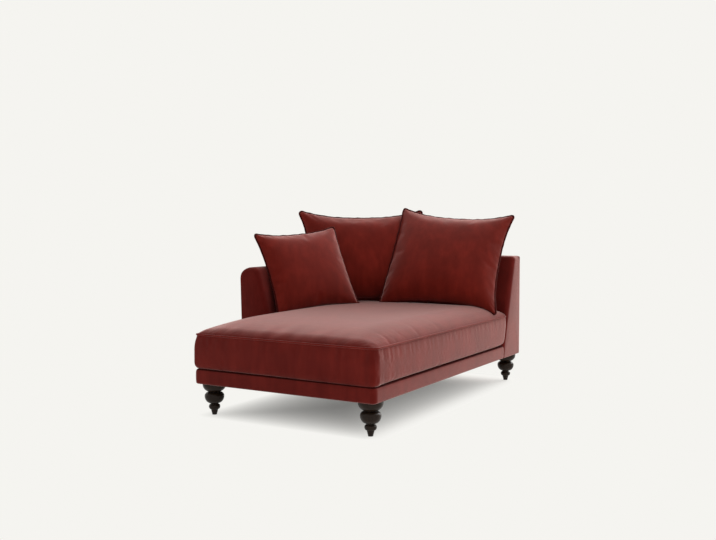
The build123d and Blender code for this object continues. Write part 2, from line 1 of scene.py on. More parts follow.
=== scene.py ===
import bpy
import numpy as np
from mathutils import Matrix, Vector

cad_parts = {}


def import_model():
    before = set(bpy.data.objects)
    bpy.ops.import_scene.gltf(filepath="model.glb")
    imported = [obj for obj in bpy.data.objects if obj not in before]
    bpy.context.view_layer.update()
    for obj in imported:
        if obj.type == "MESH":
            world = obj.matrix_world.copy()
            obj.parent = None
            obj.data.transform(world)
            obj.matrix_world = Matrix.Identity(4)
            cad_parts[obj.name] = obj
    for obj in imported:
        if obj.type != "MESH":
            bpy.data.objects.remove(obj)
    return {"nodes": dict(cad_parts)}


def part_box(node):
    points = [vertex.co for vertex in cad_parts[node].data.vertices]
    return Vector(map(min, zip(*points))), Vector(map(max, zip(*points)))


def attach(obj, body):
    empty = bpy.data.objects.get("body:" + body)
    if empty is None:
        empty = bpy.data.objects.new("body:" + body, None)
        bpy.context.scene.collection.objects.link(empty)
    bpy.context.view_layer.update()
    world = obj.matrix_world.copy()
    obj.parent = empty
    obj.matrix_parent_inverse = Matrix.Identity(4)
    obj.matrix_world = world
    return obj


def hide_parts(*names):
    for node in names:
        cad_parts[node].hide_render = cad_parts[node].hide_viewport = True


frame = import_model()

nodes = frame["nodes"]
scene = bpy.context.scene
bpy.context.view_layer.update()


# Timber frame
# Planed softwood rails, ribs and blocks, glued and bolted, with hardboard on the rear and the arm's side.
# The grain runs along each piece, so the pieces are sorted by the way they lie.

def finish(name, sockets):
    """A new material, with these values set on its shader's own sockets."""
    made = bpy.data.materials.new(name)
    made.use_nodes = True
    shader = made.node_tree.nodes["Principled BSDF"]
    for socket, value in sockets.items():
        shader.inputs[socket].default_value = value
    return made, made.node_tree, shader


def place_node(tree, kind, links=(), **values):
    """A shader node with its properties set, and each input set to a value or linked to an output socket."""
    made = tree.nodes.new(kind)
    for key, value in values.items():
        setattr(made, key, value)
    for socket, source in links:
        if hasattr(source, "links"):
            tree.links.new(source, made.inputs[socket])
        else:
            made.inputs[socket].default_value = source
    return made


def node_group(name, inputs, outputs):
    """An empty node group, its input node, and its sockets, each a name with a kind."""
    group = bpy.data.node_groups.new(name, "ShaderNodeTree")
    for way, sockets in (("INPUT", inputs), ("OUTPUT", outputs)):
        for socket, kind in sockets.items():
            group.interface.new_socket(socket, in_out=way, socket_type=f"NodeSocket{kind}")
    return group, place_node(group, "NodeGroupInput")


def blended(tree, mask, first, second):
    """A colour that goes from the first to the second as the mask goes from 0 to 1."""
    made = place_node(tree, "ShaderNodeMix", [(0, mask), (6, first), (7, second)], data_type="RGBA")
    return made.outputs[2]


def stretched_noise(tree, scale, detail, rough=0.55):
    """Noise on object coordinates, with its own number of features per metre along X, Y and Z."""
    where = place_node(tree, "ShaderNodeTexCoord")
    mapped = place_node(tree, "ShaderNodeMapping", [("Vector", where.outputs["Object"]), ("Scale", scale)])
    noise = place_node(tree, "ShaderNodeTexNoise", [
        ("Vector", mapped.outputs["Vector"]), ("Scale", 1.0), ("Detail", detail), ("Roughness", rough)])
    return noise.outputs["Fac"]


def bumped(tree, shader, height, strength, distance):
    """Puts a height on the shader's normal."""
    made = place_node(tree, "ShaderNodeBump", [
        ("Height", height), ("Strength", strength), ("Distance", distance)])
    tree.links.new(made.outputs["Normal"], shader.inputs["Normal"])


def two_tones():
    """A node group that mixes two colours by stretched noise, and gives the noise as a height too."""
    group, into = node_group(
        "two_tones",
        {"First": "Color", "Second": "Color", "Scale": "Vector", "Detail": "Float", "Roughness": "Float"},
        {"Color": "Color", "Height": "Float"})
    noise = stretched_noise(group, *(into.outputs[name] for name in ("Scale", "Detail", "Roughness")))
    colour = blended(group, noise, into.outputs["First"], into.outputs["Second"])
    place_node(group, "NodeGroupOutput", [("Color", colour), ("Height", noise)])
    return group


TWO_TONES = two_tones()


def mottled(name, first, second, scale, sockets, detail=2.0, rough=0.55, relief=None):
    """A finish in two tones. Its relief, if it has one, is the strength and the depth of their bump."""
    made, tree, shader = finish(name, sockets)
    tones = place_node(tree, "ShaderNodeGroup", [
        ("First", first), ("Second", second), ("Scale", scale), ("Detail", detail), ("Roughness", rough)],
        node_tree=TWO_TONES)
    tree.links.new(tones.outputs["Color"], shader.inputs["Base Color"])
    if relief:
        bumped(tree, shader, tones.outputs["Height"], *relief)
    return made


def dress(names, material):
    """Gives a finish to nodes that are shown as they are."""
    for name in names:
        nodes[name].data.materials.clear()
        nodes[name].data.materials.append(material)


RAW_WOOD = {"Roughness": 0.7, "Specular IOR Level": 0.25}
GRAIN = {"detail": 5.0, "rough": 0.65, "relief": (0.2, 0.0006)}
SOFTWOOD = (0.60, 0.43, 0.26, 1), (0.38, 0.23, 0.11, 1)
HARDBOARD = (0.33, 0.21, 0.12, 1), (0.20, 0.12, 0.06, 1)
GRAIN_ALONG = {"x": (6, 160, 160), "y": (160, 6, 160), "z": (160, 160, 6)}
TIMBER_NODES = {
    "x": ["front_rail", "rear_rail", "cross_members", "back_foot_rail", "back_top_rail", "back_sill"],
    "y": ["right_rail", "left_rail", "arm_foot_rail", "arm_top_rail", "arm_sill"],
    "z": ["foot_blocks", "back_rib_right", "back_rib_middle", "back_rib_arm", "back_rib_left",
          "arm_rib_front", "arm_rib_middle", "arm_rib_rear"],
}
for way, names in TIMBER_NODES.items():
    dress(names, mottled(f"softwood_{way}", *SOFTWOOD, GRAIN_ALONG[way], RAW_WOOD, **GRAIN))
dress(["back_panel", "arm_panel"], mottled("hardboard", *HARDBOARD, (420, 420, 420), RAW_WOOD, **GRAIN))


# Bolts, foot plates and glides
# Zinc-plated steel bolts and plates that hold the feet, the back and the arm on the base, and black nylon
# glides, each nailed under a foot.

ZINC = (0.50, 0.50, 0.52, 1), (0.68, 0.67, 0.64, 1)
NYLON = (0.014, 0.014, 0.014, 1), (0.045, 0.044, 0.042, 1)
zinc = mottled("zinc_plate", *ZINC, (260, 260, 260), {"Metallic": 1.0, "Roughness": 0.38},
               relief=(0.1, 0.0003))
nylon = mottled("black_nylon", *NYLON, (300, 300, 300), {"Roughness": 0.5}, 4.0)
dress(["foot_bolts", "foot_plates", "back_bolts", "arm_bolts"], zinc)
dress(["foot_glides"], nylon)


# Webbing
# Woven elastic straps that carry the seat, stretched crosswise and lengthwise between the rails and
# stapled on top of them.

WEBBING = (0.05, 0.045, 0.04, 1), (0.20, 0.18, 0.15, 1)
webbing = mottled("elastic_webbing", *WEBBING, (700, 700, 700), {"Roughness": 0.9}, 1.0, relief=(0.5, 0.0006))
dress(["crosswise_webbing", "lengthwise_webbing"], webbing)


# Dust cloth
# A thin black cloth, stapled under the rails so that the frame can't be seen from below. It hangs
# a few millimetres between them and follows the L of the plan.

LINING = (0.010, 0.009, 0.009, 1), (0.045, 0.040, 0.038, 1)
DUST_SAG = 0.004
DUST_SPANS = 3
DUST_CELL = 0.02
lining = mottled("black_lining", *LINING, (900, 300, 900), {"Roughness": 0.95, "Sheen Weight": 0.15},
                 relief=(0.4, 0.0005))
dust_low, dust_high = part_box("dust_cloth")
seat_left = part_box("left_band")[0].x
arm_frame_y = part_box("arm_inside_pad")[0].y


def meshed(name, points, faces):
    """An object at the origin whose mesh has these points and faces, shaded smooth."""
    mesh = bpy.data.meshes.new(name)
    mesh.from_pydata(points.tolist(), [], faces)
    mesh.shade_smooth()
    made = bpy.data.objects.new(name, mesh)
    scene.collection.objects.link(made)
    return made


def clothe(made, material, slot, body, *replaced):
    """Gives a piece its finish, its body and the nodes that it stands for."""
    made.data.materials.clear()
    made.data.materials.append(material)
    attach(made, body)
    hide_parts(*replaced)


def grid_quads(grid):
    """The four corners of every cell in a grid of places or of their numbers, in order round the cell."""
    return np.stack([grid[:-1, :-1], grid[1:, :-1], grid[1:, 1:], grid[:-1, 1:]], 2)


def dust_cloth():
    """A flat grid without the corner that the L leaves out. It hangs by half a sine wave across, times
    one half wave for each span along."""
    x = np.linspace(dust_low.x, dust_high.x, int((dust_high.x - dust_low.x) / DUST_CELL))
    y = np.linspace(dust_low.y, dust_high.y, int((dust_high.y - dust_low.y) / DUST_CELL))
    gx, gy = np.meshgrid(x, y)
    across = np.sin(np.pi * np.linspace(0, 1, len(x)))
    along = np.abs(np.sin(DUST_SPANS * np.pi * np.linspace(0, 1, len(y))))
    points = np.stack([gx, gy, dust_low.z - DUST_SAG * along[:, None] * across], -1)
    kept = (gx[:-1, :-1] > seat_left) | (gy[:-1, :-1] > arm_frame_y)
    quads = grid_quads(np.arange(gx.size).reshape(gx.shape))[kept]
    used, renumbered = np.unique(quads, return_inverse=True)
    made = meshed("dust_cloth_sheet", points.reshape(-1, 3)[used], renumbered.reshape(-1, 4).tolist())
    area = kept.sum() * (x[1] - x[0]) * (y[1] - y[0])
    return made, (x[-1] - x[0], y[-1] - y[0]), float(area)


dust, dust_flat, dust_area = dust_cloth()
clothe(dust, lining, "deck_cloth", "frame", "dust_cloth")


# Seat deck
# Black lining over a thin pad on the webbing, which the loose cushion lies on. It is pulled tight, stapled
# to the rails, and cut round the foot of the arm.

def surface(name, points, around=False, along=False, caps=False):
    """A mesh of quads on a grid of points (rows, columns, 3), closed around or along, with end caps."""
    rows, columns = points.shape[:2]
    index = np.arange(rows * columns).reshape(rows, columns)
    if along:
        index = np.vstack([index, index[:1]])
    if around:
        index = np.hstack([index, index[:, :1]])
    faces = grid_quads(index)[..., [0, 3, 2, 1]].reshape(-1, 4).tolist()
    if caps:
        faces.append(np.arange(columns)[::-1].tolist())
        faces.append(((rows - 1) * columns + np.arange(columns)).tolist())
    return meshed(name, points.reshape(-1, 3), faces)


def rounded_outline(corners, radii, steps=8):
    """A closed outline through corners, each turned by an arc of its radius that touches both sides."""
    corners = np.asarray(corners, float)
    runs = []
    for i, radius in enumerate(radii):
        before = corners[i - 1] - corners[i]
        after = corners[(i + 1) % len(corners)] - corners[i]
        before /= np.linalg.norm(before)
        after /= np.linalg.norm(after)
        half = np.arccos(np.clip(before @ after, -1, 1)) / 2
        centre = corners[i] + (before + after) / np.linalg.norm(before + after) * radius / np.sin(half)
        start = corners[i] + before * radius / np.tan(half) - centre
        end = corners[i] + after * radius / np.tan(half) - centre
        turn = np.linspace(0, 1, steps)[:, None] * (np.pi - 2 * half)
        if start[0] * end[1] - start[1] * end[0] < 0:
            turn = -turn
        swung = np.hstack([np.cos(turn) * start[0] - np.sin(turn) * start[1],
                           np.sin(turn) * start[0] + np.cos(turn) * start[1]])
        runs.append(centre + swung)
    return np.vstack(runs)


def evened(outline, spacing):
    """The closed outline again, with points at even steps along its length."""
    closed = np.vstack([outline, outline[:1]])
    length = np.concatenate([[0], np.cumsum(np.linalg.norm(np.diff(closed, axis=0), axis=1))])
    where = np.linspace(0, length[-1], int(length[-1] / spacing) + 1)[:-1]
    return np.stack([np.interp(where, length, closed[:, k]) for k in range(closed.shape[1])], -1)


def outward(outline):
    """Unit normals of a closed counter-clockwise outline."""
    along = np.roll(outline, -1, 0) - np.roll(outline, 1, 0)
    normal = np.stack([along[:, 1], -along[:, 0]], -1)
    return normal / np.linalg.norm(normal, axis=1, keepdims=True)


def padded_panel(name, outline, depth, edge, puff, place):
    """A panel on an outline: straight sides, an edge turned by a quarter circle, and a face that swells
    from its edge to its middle by the puff, as one less the square of the way in."""
    normal = outward(outline)
    middle = outline.mean(0)
    turn = np.linspace(0, np.pi / 2, 7)
    inset = np.concatenate([[0], edge * (1 - np.cos(turn))])
    height = np.concatenate([[0], depth - edge + edge * np.sin(turn)])
    rim = outline[None] - normal[None] * inset[:, None, None]
    shrink = np.linspace(1, 0.02, 16)[1:]
    face = middle + (rim[-1] - middle)[None] * shrink[:, None, None]
    swell = depth + puff * (1 - shrink ** 2)
    flat = np.concatenate([rim, face])
    rise = np.broadcast_to(np.concatenate([height, swell])[:, None], flat.shape[:2])
    return surface(name, place(flat[..., 0], flat[..., 1], rise), around=True, caps=True)


DECK_CORNER = 0.012
DECK_FOLD = 0.003
DECK_EDGE = 0.006
DECK_CLEAR = 0.001
deck_low, deck_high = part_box("seat_deck")
arm_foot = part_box("arm_front_pad")[1]
deck_outline = evened(rounded_outline(
    [(deck_low.x, deck_low.y), (deck_high.x, deck_low.y), (deck_high.x, deck_high.y),
     (arm_foot.x, deck_high.y), (arm_foot.x, arm_foot.y), (deck_low.x, arm_foot.y)],
    [DECK_CORNER] * 2 + [DECK_FOLD] * 4), 0.008)
deck = padded_panel("seat_deck_lining", deck_outline, deck_high.z - deck_low.z - DECK_CLEAR, DECK_EDGE, 0.0,
                    lambda a, b, d: np.stack([a, b, deck_low.z + d], -1))
clothe(deck, lining, "deck_cloth", "frame", "seat_deck")


# Feet
# Turned hardwood, stained almost black and rubbed to a satin. Each has a bowl under the base, a thin
# collar, a bulb that tapers to a neck, a knob and a toe, and is screwed up into its block.

DARK_WOOD = (0.005, 0.0026, 0.0016, 1), (0.034, 0.019, 0.011, 1)
FOOT_TOE = 0.0122
FOOT_CORE = 0.0190
FOOT_TAPER = 0.026
FOOT_BEADS = (
    # middle height, half height above, half height below, radius
    (0.1500, 0.020, 0.036, 0.0575),
    (0.1190, 0.004, 0.005, 0.0350),
    (0.0930, 0.022, 0.036, 0.0480),
    (0.0410, 0.011, 0.014, 0.0280),
)
dark_wood = mottled("dark_turned_wood", *DARK_WOOD, (90, 90, 9),
                    {"Roughness": 0.32, "Specular IOR Level": 0.16}, 6.0, 0.7, (0.08, 0.0006))


def turned_foot(name, low, high):
    """A lathe form: at each height the radius is the largest of a plain taper and of the beads, each of
    which is half an ellipse."""
    middle = (np.array(low) + np.array(high)) / 2
    z = np.linspace(low.z, high.z, 120)
    taper = np.clip((z - low.z) / FOOT_TAPER, 0, 1)
    radius = FOOT_TOE + (FOOT_CORE - FOOT_TOE) * taper
    for height, above, below, bead in FOOT_BEADS:
        off = (z - height) / np.where(z > height, above, below)
        round_over = FOOT_CORE + (bead - FOOT_CORE) * np.sqrt(np.clip(1 - off ** 2, 0, 1))
        radius = np.maximum(radius, np.where(np.abs(off) < 1, round_over, 0))
    angle = np.linspace(0, 2 * np.pi, 64, endpoint=False)
    points = np.stack([
        middle[0] + radius[:, None] * np.cos(angle), middle[1] + radius[:, None] * np.sin(angle),
        np.broadcast_to(z[:, None], (len(z), len(angle)))], -1)
    return surface(name, points, around=True, caps=True)


for corner in ("front_left", "front_right", "rear_right", "rear_left", "arm_front"):
    turned = turned_foot(f"turned_foot_{corner}", *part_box(f"foot_{corner}"))
    clothe(turned, dark_wood, "turned_wood", "frame", f"foot_{corner}")


# Base band
# A padded strip of velvet, wrapped round the front and the sides of the base and turned over the rails
# to meet the deck. It is one strip, pulled round both front corners.

def brushed_nap():
    """A node group for velvet: a pile colour that shifts where the pile was brushed, in broad patches and
    in streaks that run down, and a height of fine fibres."""
    group, into = node_group(
        "brushed_nap", {"Pile": "Color", "Brushed": "Color"}, {"Color": "Color", "Height": "Float"})
    patches = stretched_noise(group, (7, 7, 7), 2.0)
    streaks = stretched_noise(group, (24, 24, 5), 2.0)
    fibres = stretched_noise(group, (1100, 1100, 700), 1.0)
    mixed = place_node(group, "ShaderNodeMath", [(0, patches), (1, streaks)], operation="MULTIPLY")
    mask = place_node(group, "ShaderNodeMapRange", [
        ("Value", mixed.outputs[0]), ("From Min", 0.14), ("From Max", 0.42)])
    colour = blended(group, mask.outputs["Result"], into.outputs["Pile"], into.outputs["Brushed"])
    place_node(group, "NodeGroupOutput", [("Color", colour), ("Height", fibres)])
    return group


NAP = brushed_nap()
NAP_RELIEF = (0.25, 0.0008)
VELVET_SHADER = {"Roughness": 0.9, "Specular IOR Level": 0.06, "Sheen Tint": (1.0, 0.68, 0.63, 1)}


def velvet(name, pile, brushed, sheen=1.0, spread=0.37):
    """A velvet finish in a pile colour, with paler brushed marks and a sheen where it turns away."""
    made, tree, shader = finish(name, {**VELVET_SHADER, "Sheen Weight": sheen, "Sheen Roughness": spread})
    nap = place_node(tree, "ShaderNodeGroup", [("Pile", pile), ("Brushed", brushed)], node_tree=NAP)
    tree.links.new(nap.outputs["Color"], shader.inputs["Base Color"])
    bumped(tree, shader, nap.outputs["Height"], *NAP_RELIEF)
    return made


red_velvet = velvet("red_velvet", (0.112, 0.0085, 0.0062, 1), (0.165, 0.0140, 0.0100, 1))
# A darker velvet without a sheen: painted shade for the faces in the groove between the cushion and the band.
groove_painted_shade_velvet = velvet("groove_painted_shade_velvet", (0.040, 0.0030, 0.0022, 1), (0.060, 0.0050, 0.0036, 1), 0.0)

BAND_CORNER = 0.024
BAND_LEFT_CORNER = 0.018
BAND_LEFT_EASE = 0.014
BAND_ROUND = 0.0145
BAND_FOOT_ROUND = 0.010
BAND_INNER_ROUND = 0.002
BAND_LIP = 0.0012
BAND_PUFF = 0.0015
BAND_FACE = 0.004
BAND_END_TUCK = 0.006
BAND_END_EASE = 0.6
BAND_GROOVE_SHADE = 0.6
BACK_TOP_THICKNESS = 0.108
band_low, band_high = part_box("front_band")
band_depth = band_high.y - band_low.y
left_band_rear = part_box("left_band")[1].y
deck_reach = deck_low.y - band_low.y + DECK_CLEAR
end_low, end_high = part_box("back_end_right")
back_rake = (end_high.y - end_low.y - BACK_TOP_THICKNESS) / (end_high.z - end_low.z)


def back_face(z):
    """Y of the back's raked inside face at height z: a straight line."""
    return end_high.y - BACK_TOP_THICKNESS - (end_high.z - z) * back_rake


def paint_groove_shade(made, flat):
    """Paints shade on the faces where the cushion meets the band: they take a darker velvet without a sheen,
    as painted shade for the groove's shadow.
    """
    made.data.materials.append(groove_painted_shade_velvet)
    made.data.polygons.foreach_set("material_index", flat.astype(np.int32))
    made.data.update()


def base_band():
    """A section carried along the plan's three sides: a rounded strip with a lip over the rail, whose front
    swells by half a sine wave. Where it meets the back it is drawn in by part of a quarter circle."""
    left = band_low.x - BAND_LEFT_EASE
    end_joint = back_face(band_high.z) + BAND_END_TUCK
    section = rounded_outline(
        [(-band_depth, band_low.z), (0, band_low.z), (0, band_high.z), (-deck_reach, band_high.z + BAND_LIP),
         (-deck_reach, band_high.z), (-band_depth, band_high.z)],
        [BAND_INNER_ROUND, BAND_FOOT_ROUND, BAND_ROUND, 0.0005, 0.0003, 0.0003], 7)
    section = evened(section, 0.004)
    corners = rounded_outline(
        [(left, left_band_rear), (left, band_low.y), (band_high.x, band_low.y), (band_high.x, end_joint)],
        [0.0001, BAND_LEFT_CORNER, BAND_CORNER, 0.0001], 12)
    path = evened(np.vstack([corners, corners[-1:]]), 0.006)
    start = np.argmin(np.hypot(path[:, 0] - left, path[:, 1] - left_band_rear))
    end = np.argmin(np.hypot(path[:, 0] - band_high.x, path[:, 1] - end_joint))
    path = np.roll(path, -start, 0)[: (end - start) % len(path) + 1]
    along = np.gradient(path, axis=0)
    normal = np.stack([along[:, 1], -along[:, 0]], -1)
    normal /= np.linalg.norm(normal, axis=1, keepdims=True)
    on_face = section[:, 0] > -BAND_FACE
    share = (section[:, 1] - band_low.z) / (band_high.z - band_low.z)
    out = section[:, 0] + BAND_PUFF * np.sin(np.pi * np.clip(share, 0, 1)) * on_face
    points = np.empty((len(path), len(section), 3))
    points[..., :2] = path[:, None] + normal[:, None] * out[None, :, None]
    points[..., 2] = section[None, :, 1]
    to_end = np.clip((BAND_ROUND - (end_joint - path[:, 1])) / BAND_ROUND, 0, 1) * (path[:, 0] > 0)
    tuck = BAND_END_EASE * BAND_ROUND * (1 - np.sqrt(1 - to_end ** 2))
    points[..., 0] -= tuck[:, None] * on_face[None]
    # The faces on the top of the rounding and on the lip, under the cushion, take the painted shade of the
    # groove.
    lower_end = np.minimum(section[:, 1], np.roll(section[:, 1], -1))
    groove_shade = lower_end > band_high.z - BAND_GROOVE_SHADE * BAND_ROUND
    groove_shade = np.broadcast_to(groove_shade, (len(path) - 1, len(section))).reshape(-1)
    return surface("base_band_cover", points, around=True, caps=True), np.append(groove_shade, [False, False])


band, band_groove_shade = base_band()
clothe(band, red_velvet, "velvet", "frame", "front_band", "right_band", "left_band")
paint_groove_shade(band, band_groove_shade)


# Back
# A raked, padded back in one velvet cover, pulled over the inside, the top and both ends, with softly
# rounded edges, and a plain cover stretched over the hardboard on the rear.

BACK_ROUNDS = [0.006, 0.006, 0.014, 0.022, 0.010]
BACK_CROWN = 0.006
BACK_CROWN_BLEND = 0.008
BACK_EDGE = 0.008
BACK_FRONT_EDGE = 0.026
BACK_EDGE_FADE = 0.07
BACK_RISE = 0.005
BACK_REAR_STEP = 0.005
END_PUFF = 0.0015
COVER_ROUND = 0.006
COVER_EDGE = 0.004
COVER_PUFF = 0.001


def nosed_end(outline, nose, puff):
    """Rings of an outline over a closed end: from the middle of an end that swells by the puff, out to its
    rim and round a nosing, a quarter circle of each point's own radius. Gives the rings and their depths."""
    normal = outward(outline)
    turn = np.linspace(0, np.pi / 2, 10)
    rim = outline[None] - normal[None] * (nose[None] * (1 - np.sin(turn))[:, None])[..., None]
    middle = rim[0].mean(0)
    grow = np.linspace(0.02, 1, 14)[:-1]
    face = middle + (rim[0] - middle)[None] * grow[:, None, None]
    swell = np.broadcast_to(-puff * (1 - grow[:, None] ** 2), face.shape[:2])
    return np.concatenate([face, rim]), np.concatenate([swell, nose[None] * (1 - np.cos(turn))[:, None]])


def back_cover():
    """The back's wedge, run from end to end. Its raked side swells by a product of half sine waves. The
    nosing is fuller on the front of the open end; the other end meets the arm."""
    low, top, rear = end_low.z, end_high.z + BACK_RISE, end_high.y - BACK_REAR_STEP
    foot = back_face(band_high.z)
    outline = evened(rounded_outline(
        [(foot, low), (rear, low), (rear, top), (back_face(top), top), (foot, band_high.z)],
        BACK_ROUNDS), 0.008)
    normal = outward(outline)
    facing = np.clip(0.8 * normal[:, 1] - 1.2 * normal[:, 0], 0, 1)
    facing = facing * np.clip((outline[:, 1] - low) / BACK_EDGE_FADE, 0, 1)
    arm_nose = np.full(len(outline), BACK_EDGE)
    open_nose = BACK_EDGE + (BACK_FRONT_EDGE - BACK_EDGE) * facing
    arm_rings, arm_depth = nosed_end(outline, arm_nose, END_PUFF)
    open_rings, open_depth = nosed_end(outline, open_nose, END_PUFF)
    share = np.linspace(0, 1, 130)[1:-1, None]
    run = (1 - share) * (arm_nose - end_high.x) + share * (end_high.x - open_nose)
    x = np.concatenate([arm_depth - end_high.x, run, (end_high.x - open_depth)[::-1]])
    flat = np.concatenate([arm_rings, np.broadcast_to(outline, (len(run), *outline.shape)), open_rings[::-1]])
    share = np.clip((flat[..., 1] - band_high.z) / (top - band_high.z), 0, 1)
    near = np.exp(-((flat[..., 0] - back_face(flat[..., 1])) / BACK_CROWN_BLEND) ** 2)
    across = np.clip(1 - (x / end_high.x) ** 2, 0, 1) ** 0.4
    y = flat[..., 0] - BACK_CROWN * near * across * np.sin(np.pi * share)
    return surface("back_cover", np.stack([x, y, flat[..., 1]], -1), around=True, caps=True)


back = back_cover()
clothe(back, red_velvet, "velvet", "frame", "back_inside_pad", "back_end_right", "back_end_left")

rear_low, rear_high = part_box("back_outside_cover")
rear_outline = evened(rounded_outline(
    [(rear_low.x, rear_low.z), (rear_high.x, rear_low.z), (rear_high.x, rear_high.z),
     (rear_low.x, rear_high.z)], [COVER_ROUND] * 4), 0.01)
rear_panel = padded_panel("back_rear_cover", rear_outline, rear_high.y - rear_low.y, COVER_EDGE, COVER_PUFF,
                          lambda a, b, d: np.stack([a, rear_low.y + d, b], -1))
rear_panel.data.flip_normals()
clothe(rear_panel, red_velvet, "velvet", "frame", "back_outside_cover")


# Arm
# A raked arm, padded over the inside and the top. One velvet cover is pulled round its front, which is
# rounded like a nosing, and a plain panel is sewn on the outside.

ARM_TOP_THICKNESS = 0.105
ARM_ROUNDS = [0.008, 0.008, 0.090, 0.042, 0.066]
ARM_NOSE = 0.026
ARM_OUTER_NOSE = 0.014
ARM_NOSE_FADE = 0.08
ARM_NOSE_LEAST = 0.4
ARM_CROWN = 0.007
ARM_CROWN_GROWTH = 0.3
ARM_FACE_PUFF = 0.006
ARM_FLARE = 0.015
ARM_FLARE_REACH = 0.11
ARM_FLARE_BLEND = 0.10
ARM_TUCK = 0.012
OUTSIDE_STEP = 0.006
OUTSIDE_BLEND = 0.01
OUTSIDE_TOP = 0.04
# The arm's velvet is darker, with less sheen, than the seat's: painted shade for the shade that the pillows
# put on the arm.
arm_painted_shade_velvet = velvet("arm_painted_shade_velvet", (0.098, 0.0075, 0.0055, 1), (0.140, 0.0115, 0.0085, 1), 0.45)
nose_low, nose_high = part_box("arm_front_pad")
seat_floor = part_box("seat_cover")[0].z


def arm_face(z):
    """X of the arm's raked inside face at height z: a straight line from the seat up to the top."""
    top = nose_low.x + ARM_TOP_THICKNESS
    return nose_high.x + (z - seat_floor) / (nose_high.z - seat_floor) * (top - nose_high.x)


def arm_cover():
    """The arm's wedge, run from its nosing into the back. The outer side leans out a little towards the
    top, and the inner side swells by half a sine wave."""
    outline = evened(rounded_outline(
        [(nose_low.x, nose_low.z), (nose_high.x, nose_low.z), (nose_high.x, seat_floor),
         (nose_low.x + ARM_TOP_THICKNESS, nose_high.z), (nose_low.x, nose_high.z)],
        ARM_ROUNDS), 0.008)
    normal = outward(outline)
    inward = np.clip(0.5 + normal[:, 0] + 0.6 * normal[:, 1], 0, 1)
    nose = ARM_OUTER_NOSE + (ARM_NOSE - ARM_OUTER_NOSE) * inward
    nose = nose * np.clip((outline[:, 1] - nose_low.z) / ARM_NOSE_FADE, ARM_NOSE_LEAST, 1)
    rings, depth = nosed_end(outline, nose, ARM_FACE_PUFF)
    share = np.linspace(0, 1, 98)[1:, None]
    start, rear = nose_low.y + nose, back_face(np.maximum(outline[:, 1], band_high.z)) + ARM_TUCK
    run = (1 - share) * start + share * rear
    y = np.concatenate([nose_low.y + depth, run])
    x, z = np.moveaxis(np.concatenate([rings, np.broadcast_to(outline, (len(run), *outline.shape))]), -1, 0)
    rise = np.clip((z - nose_low.z) / (nose_high.z - nose_low.z), 0, 1)
    outer = np.clip((nose_low.x + ARM_FLARE_REACH - x) / ARM_FLARE_BLEND, 0, 1)
    behind = np.clip((y - arm_frame_y) / OUTSIDE_BLEND, 0, 1)
    on_outside = (normal[:, 0] < -0.9)[None] * (z < nose_high.z - OUTSIDE_TOP)
    x = x - ARM_FLARE * rise * outer + OUTSIDE_STEP * behind * on_outside
    inner = np.clip((normal[:, 0] - 0.3) / 0.5, 0, 1)[None] * (z > seat_floor)
    share = np.clip((z - seat_floor) / (nose_high.z - seat_floor), 0, 1)
    along = np.clip((y - nose_low.y - ARM_NOSE) / ARM_CROWN_GROWTH, 0, 1)
    x = x + ARM_CROWN * along * inner * np.sin(np.pi * share)
    return surface("arm_cover", np.stack([x, y, z], -1), around=True, caps=True)


def beside_arm(a, b, d):
    """A place on the outside panel: along the arm, up it, and out from it by the depth and the flare."""
    flare = ARM_FLARE * (b - nose_low.z) / (nose_high.z - nose_low.z)
    return np.stack([side_high.x - d - flare, a, b], -1)


arm = arm_cover()
arm.data.flip_normals()
clothe(arm, arm_painted_shade_velvet, "velvet", "frame", "arm_inside_pad", "arm_front_pad")

side_low, side_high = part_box("arm_outside_cover")
side_foot = back_face(band_high.z) + ARM_TUCK
side_outline = evened(rounded_outline(
    [(side_low.y, side_low.z), (side_foot, side_low.z), (side_foot, band_high.z),
     (back_face(side_high.z) + ARM_TUCK, side_high.z), (side_low.y, side_high.z)],
    [COVER_ROUND] * 5), 0.01)
side_panel = padded_panel("arm_side_cover", side_outline, side_high.x - side_low.x, COVER_EDGE, COVER_PUFF,
                          beside_arm)
side_panel.data.flip_normals()
clothe(side_panel, red_velvet, "velvet", "frame", "arm_outside_cover")


# Seat cushion
# A loose boxed cushion: foam in a fibre wrap and a velvet cover, plump on top, with one welt on its upper
# seam. The cover is a little larger than its filling, so that it puckers along the seam.

CUSHION_LATTICE = (76, 116, 13)
CUSHION_GRADE = 1.25
CUSHION_CORNER = 0.030
CUSHION_LEFT_CORNER = 0.016
CUSHION_LEFT_EASE = 0.018
CUSHION_SIDE_INSET = 0.004
CUSHION_FRONT_INSET = 0.002
CUSHION_REAR_CLEAR = 0.001
CUSHION_REAR_CORNER = 0.02
CUSHION_CROWN = 0.074
CROWN_NOSE = 0.050
CROWN_NOSE_SHARE = 0.24
CROWN_SHOULDER = 0.17
CROWN_DOME = 0.1
CROWN_FULLNESS = 0.85
CROWN_FRONT = 0.60
CROWN_FRONT_POWER = 3.8
CROWN_REAR = 0.34
CROWN_REAR_FALL = 0.45
CROWN_REAR_POWER = 2.6
CUSHION_UNDER = 0.032
CUSHION_UNDERCUT = 0.012
CUSHION_DROOP = 0.0092
DROOP_RIGHT = 0.55
DROOP_FLANK = 0.55
DROOP_REACH = 0.06
DROOP_REAR_CLEAR = 0.01
DROOP_REAR_FADE = 0.08
BOXING_BULGE = 0.010
BOXING_BULGE_FROM = 0.5
BOXING_PITCH = 0.052
BOXING_GATHER = 0.0019
BOXING_PUCKERS = (
    # place below the seam and width, both as shares of the boxing's height, and strength
    (0.20, 0.18, 1.0),
    (0.85, 0.12, 0.35),
)
BOXING_EVERYWHERE = 0.2
BOXING_LEFT = 0.7
GATHER_PITCH = 0.170
GATHER_DEPTH = 0.0027
GATHER_FADE = 0.070
GATHER_START = 0.010
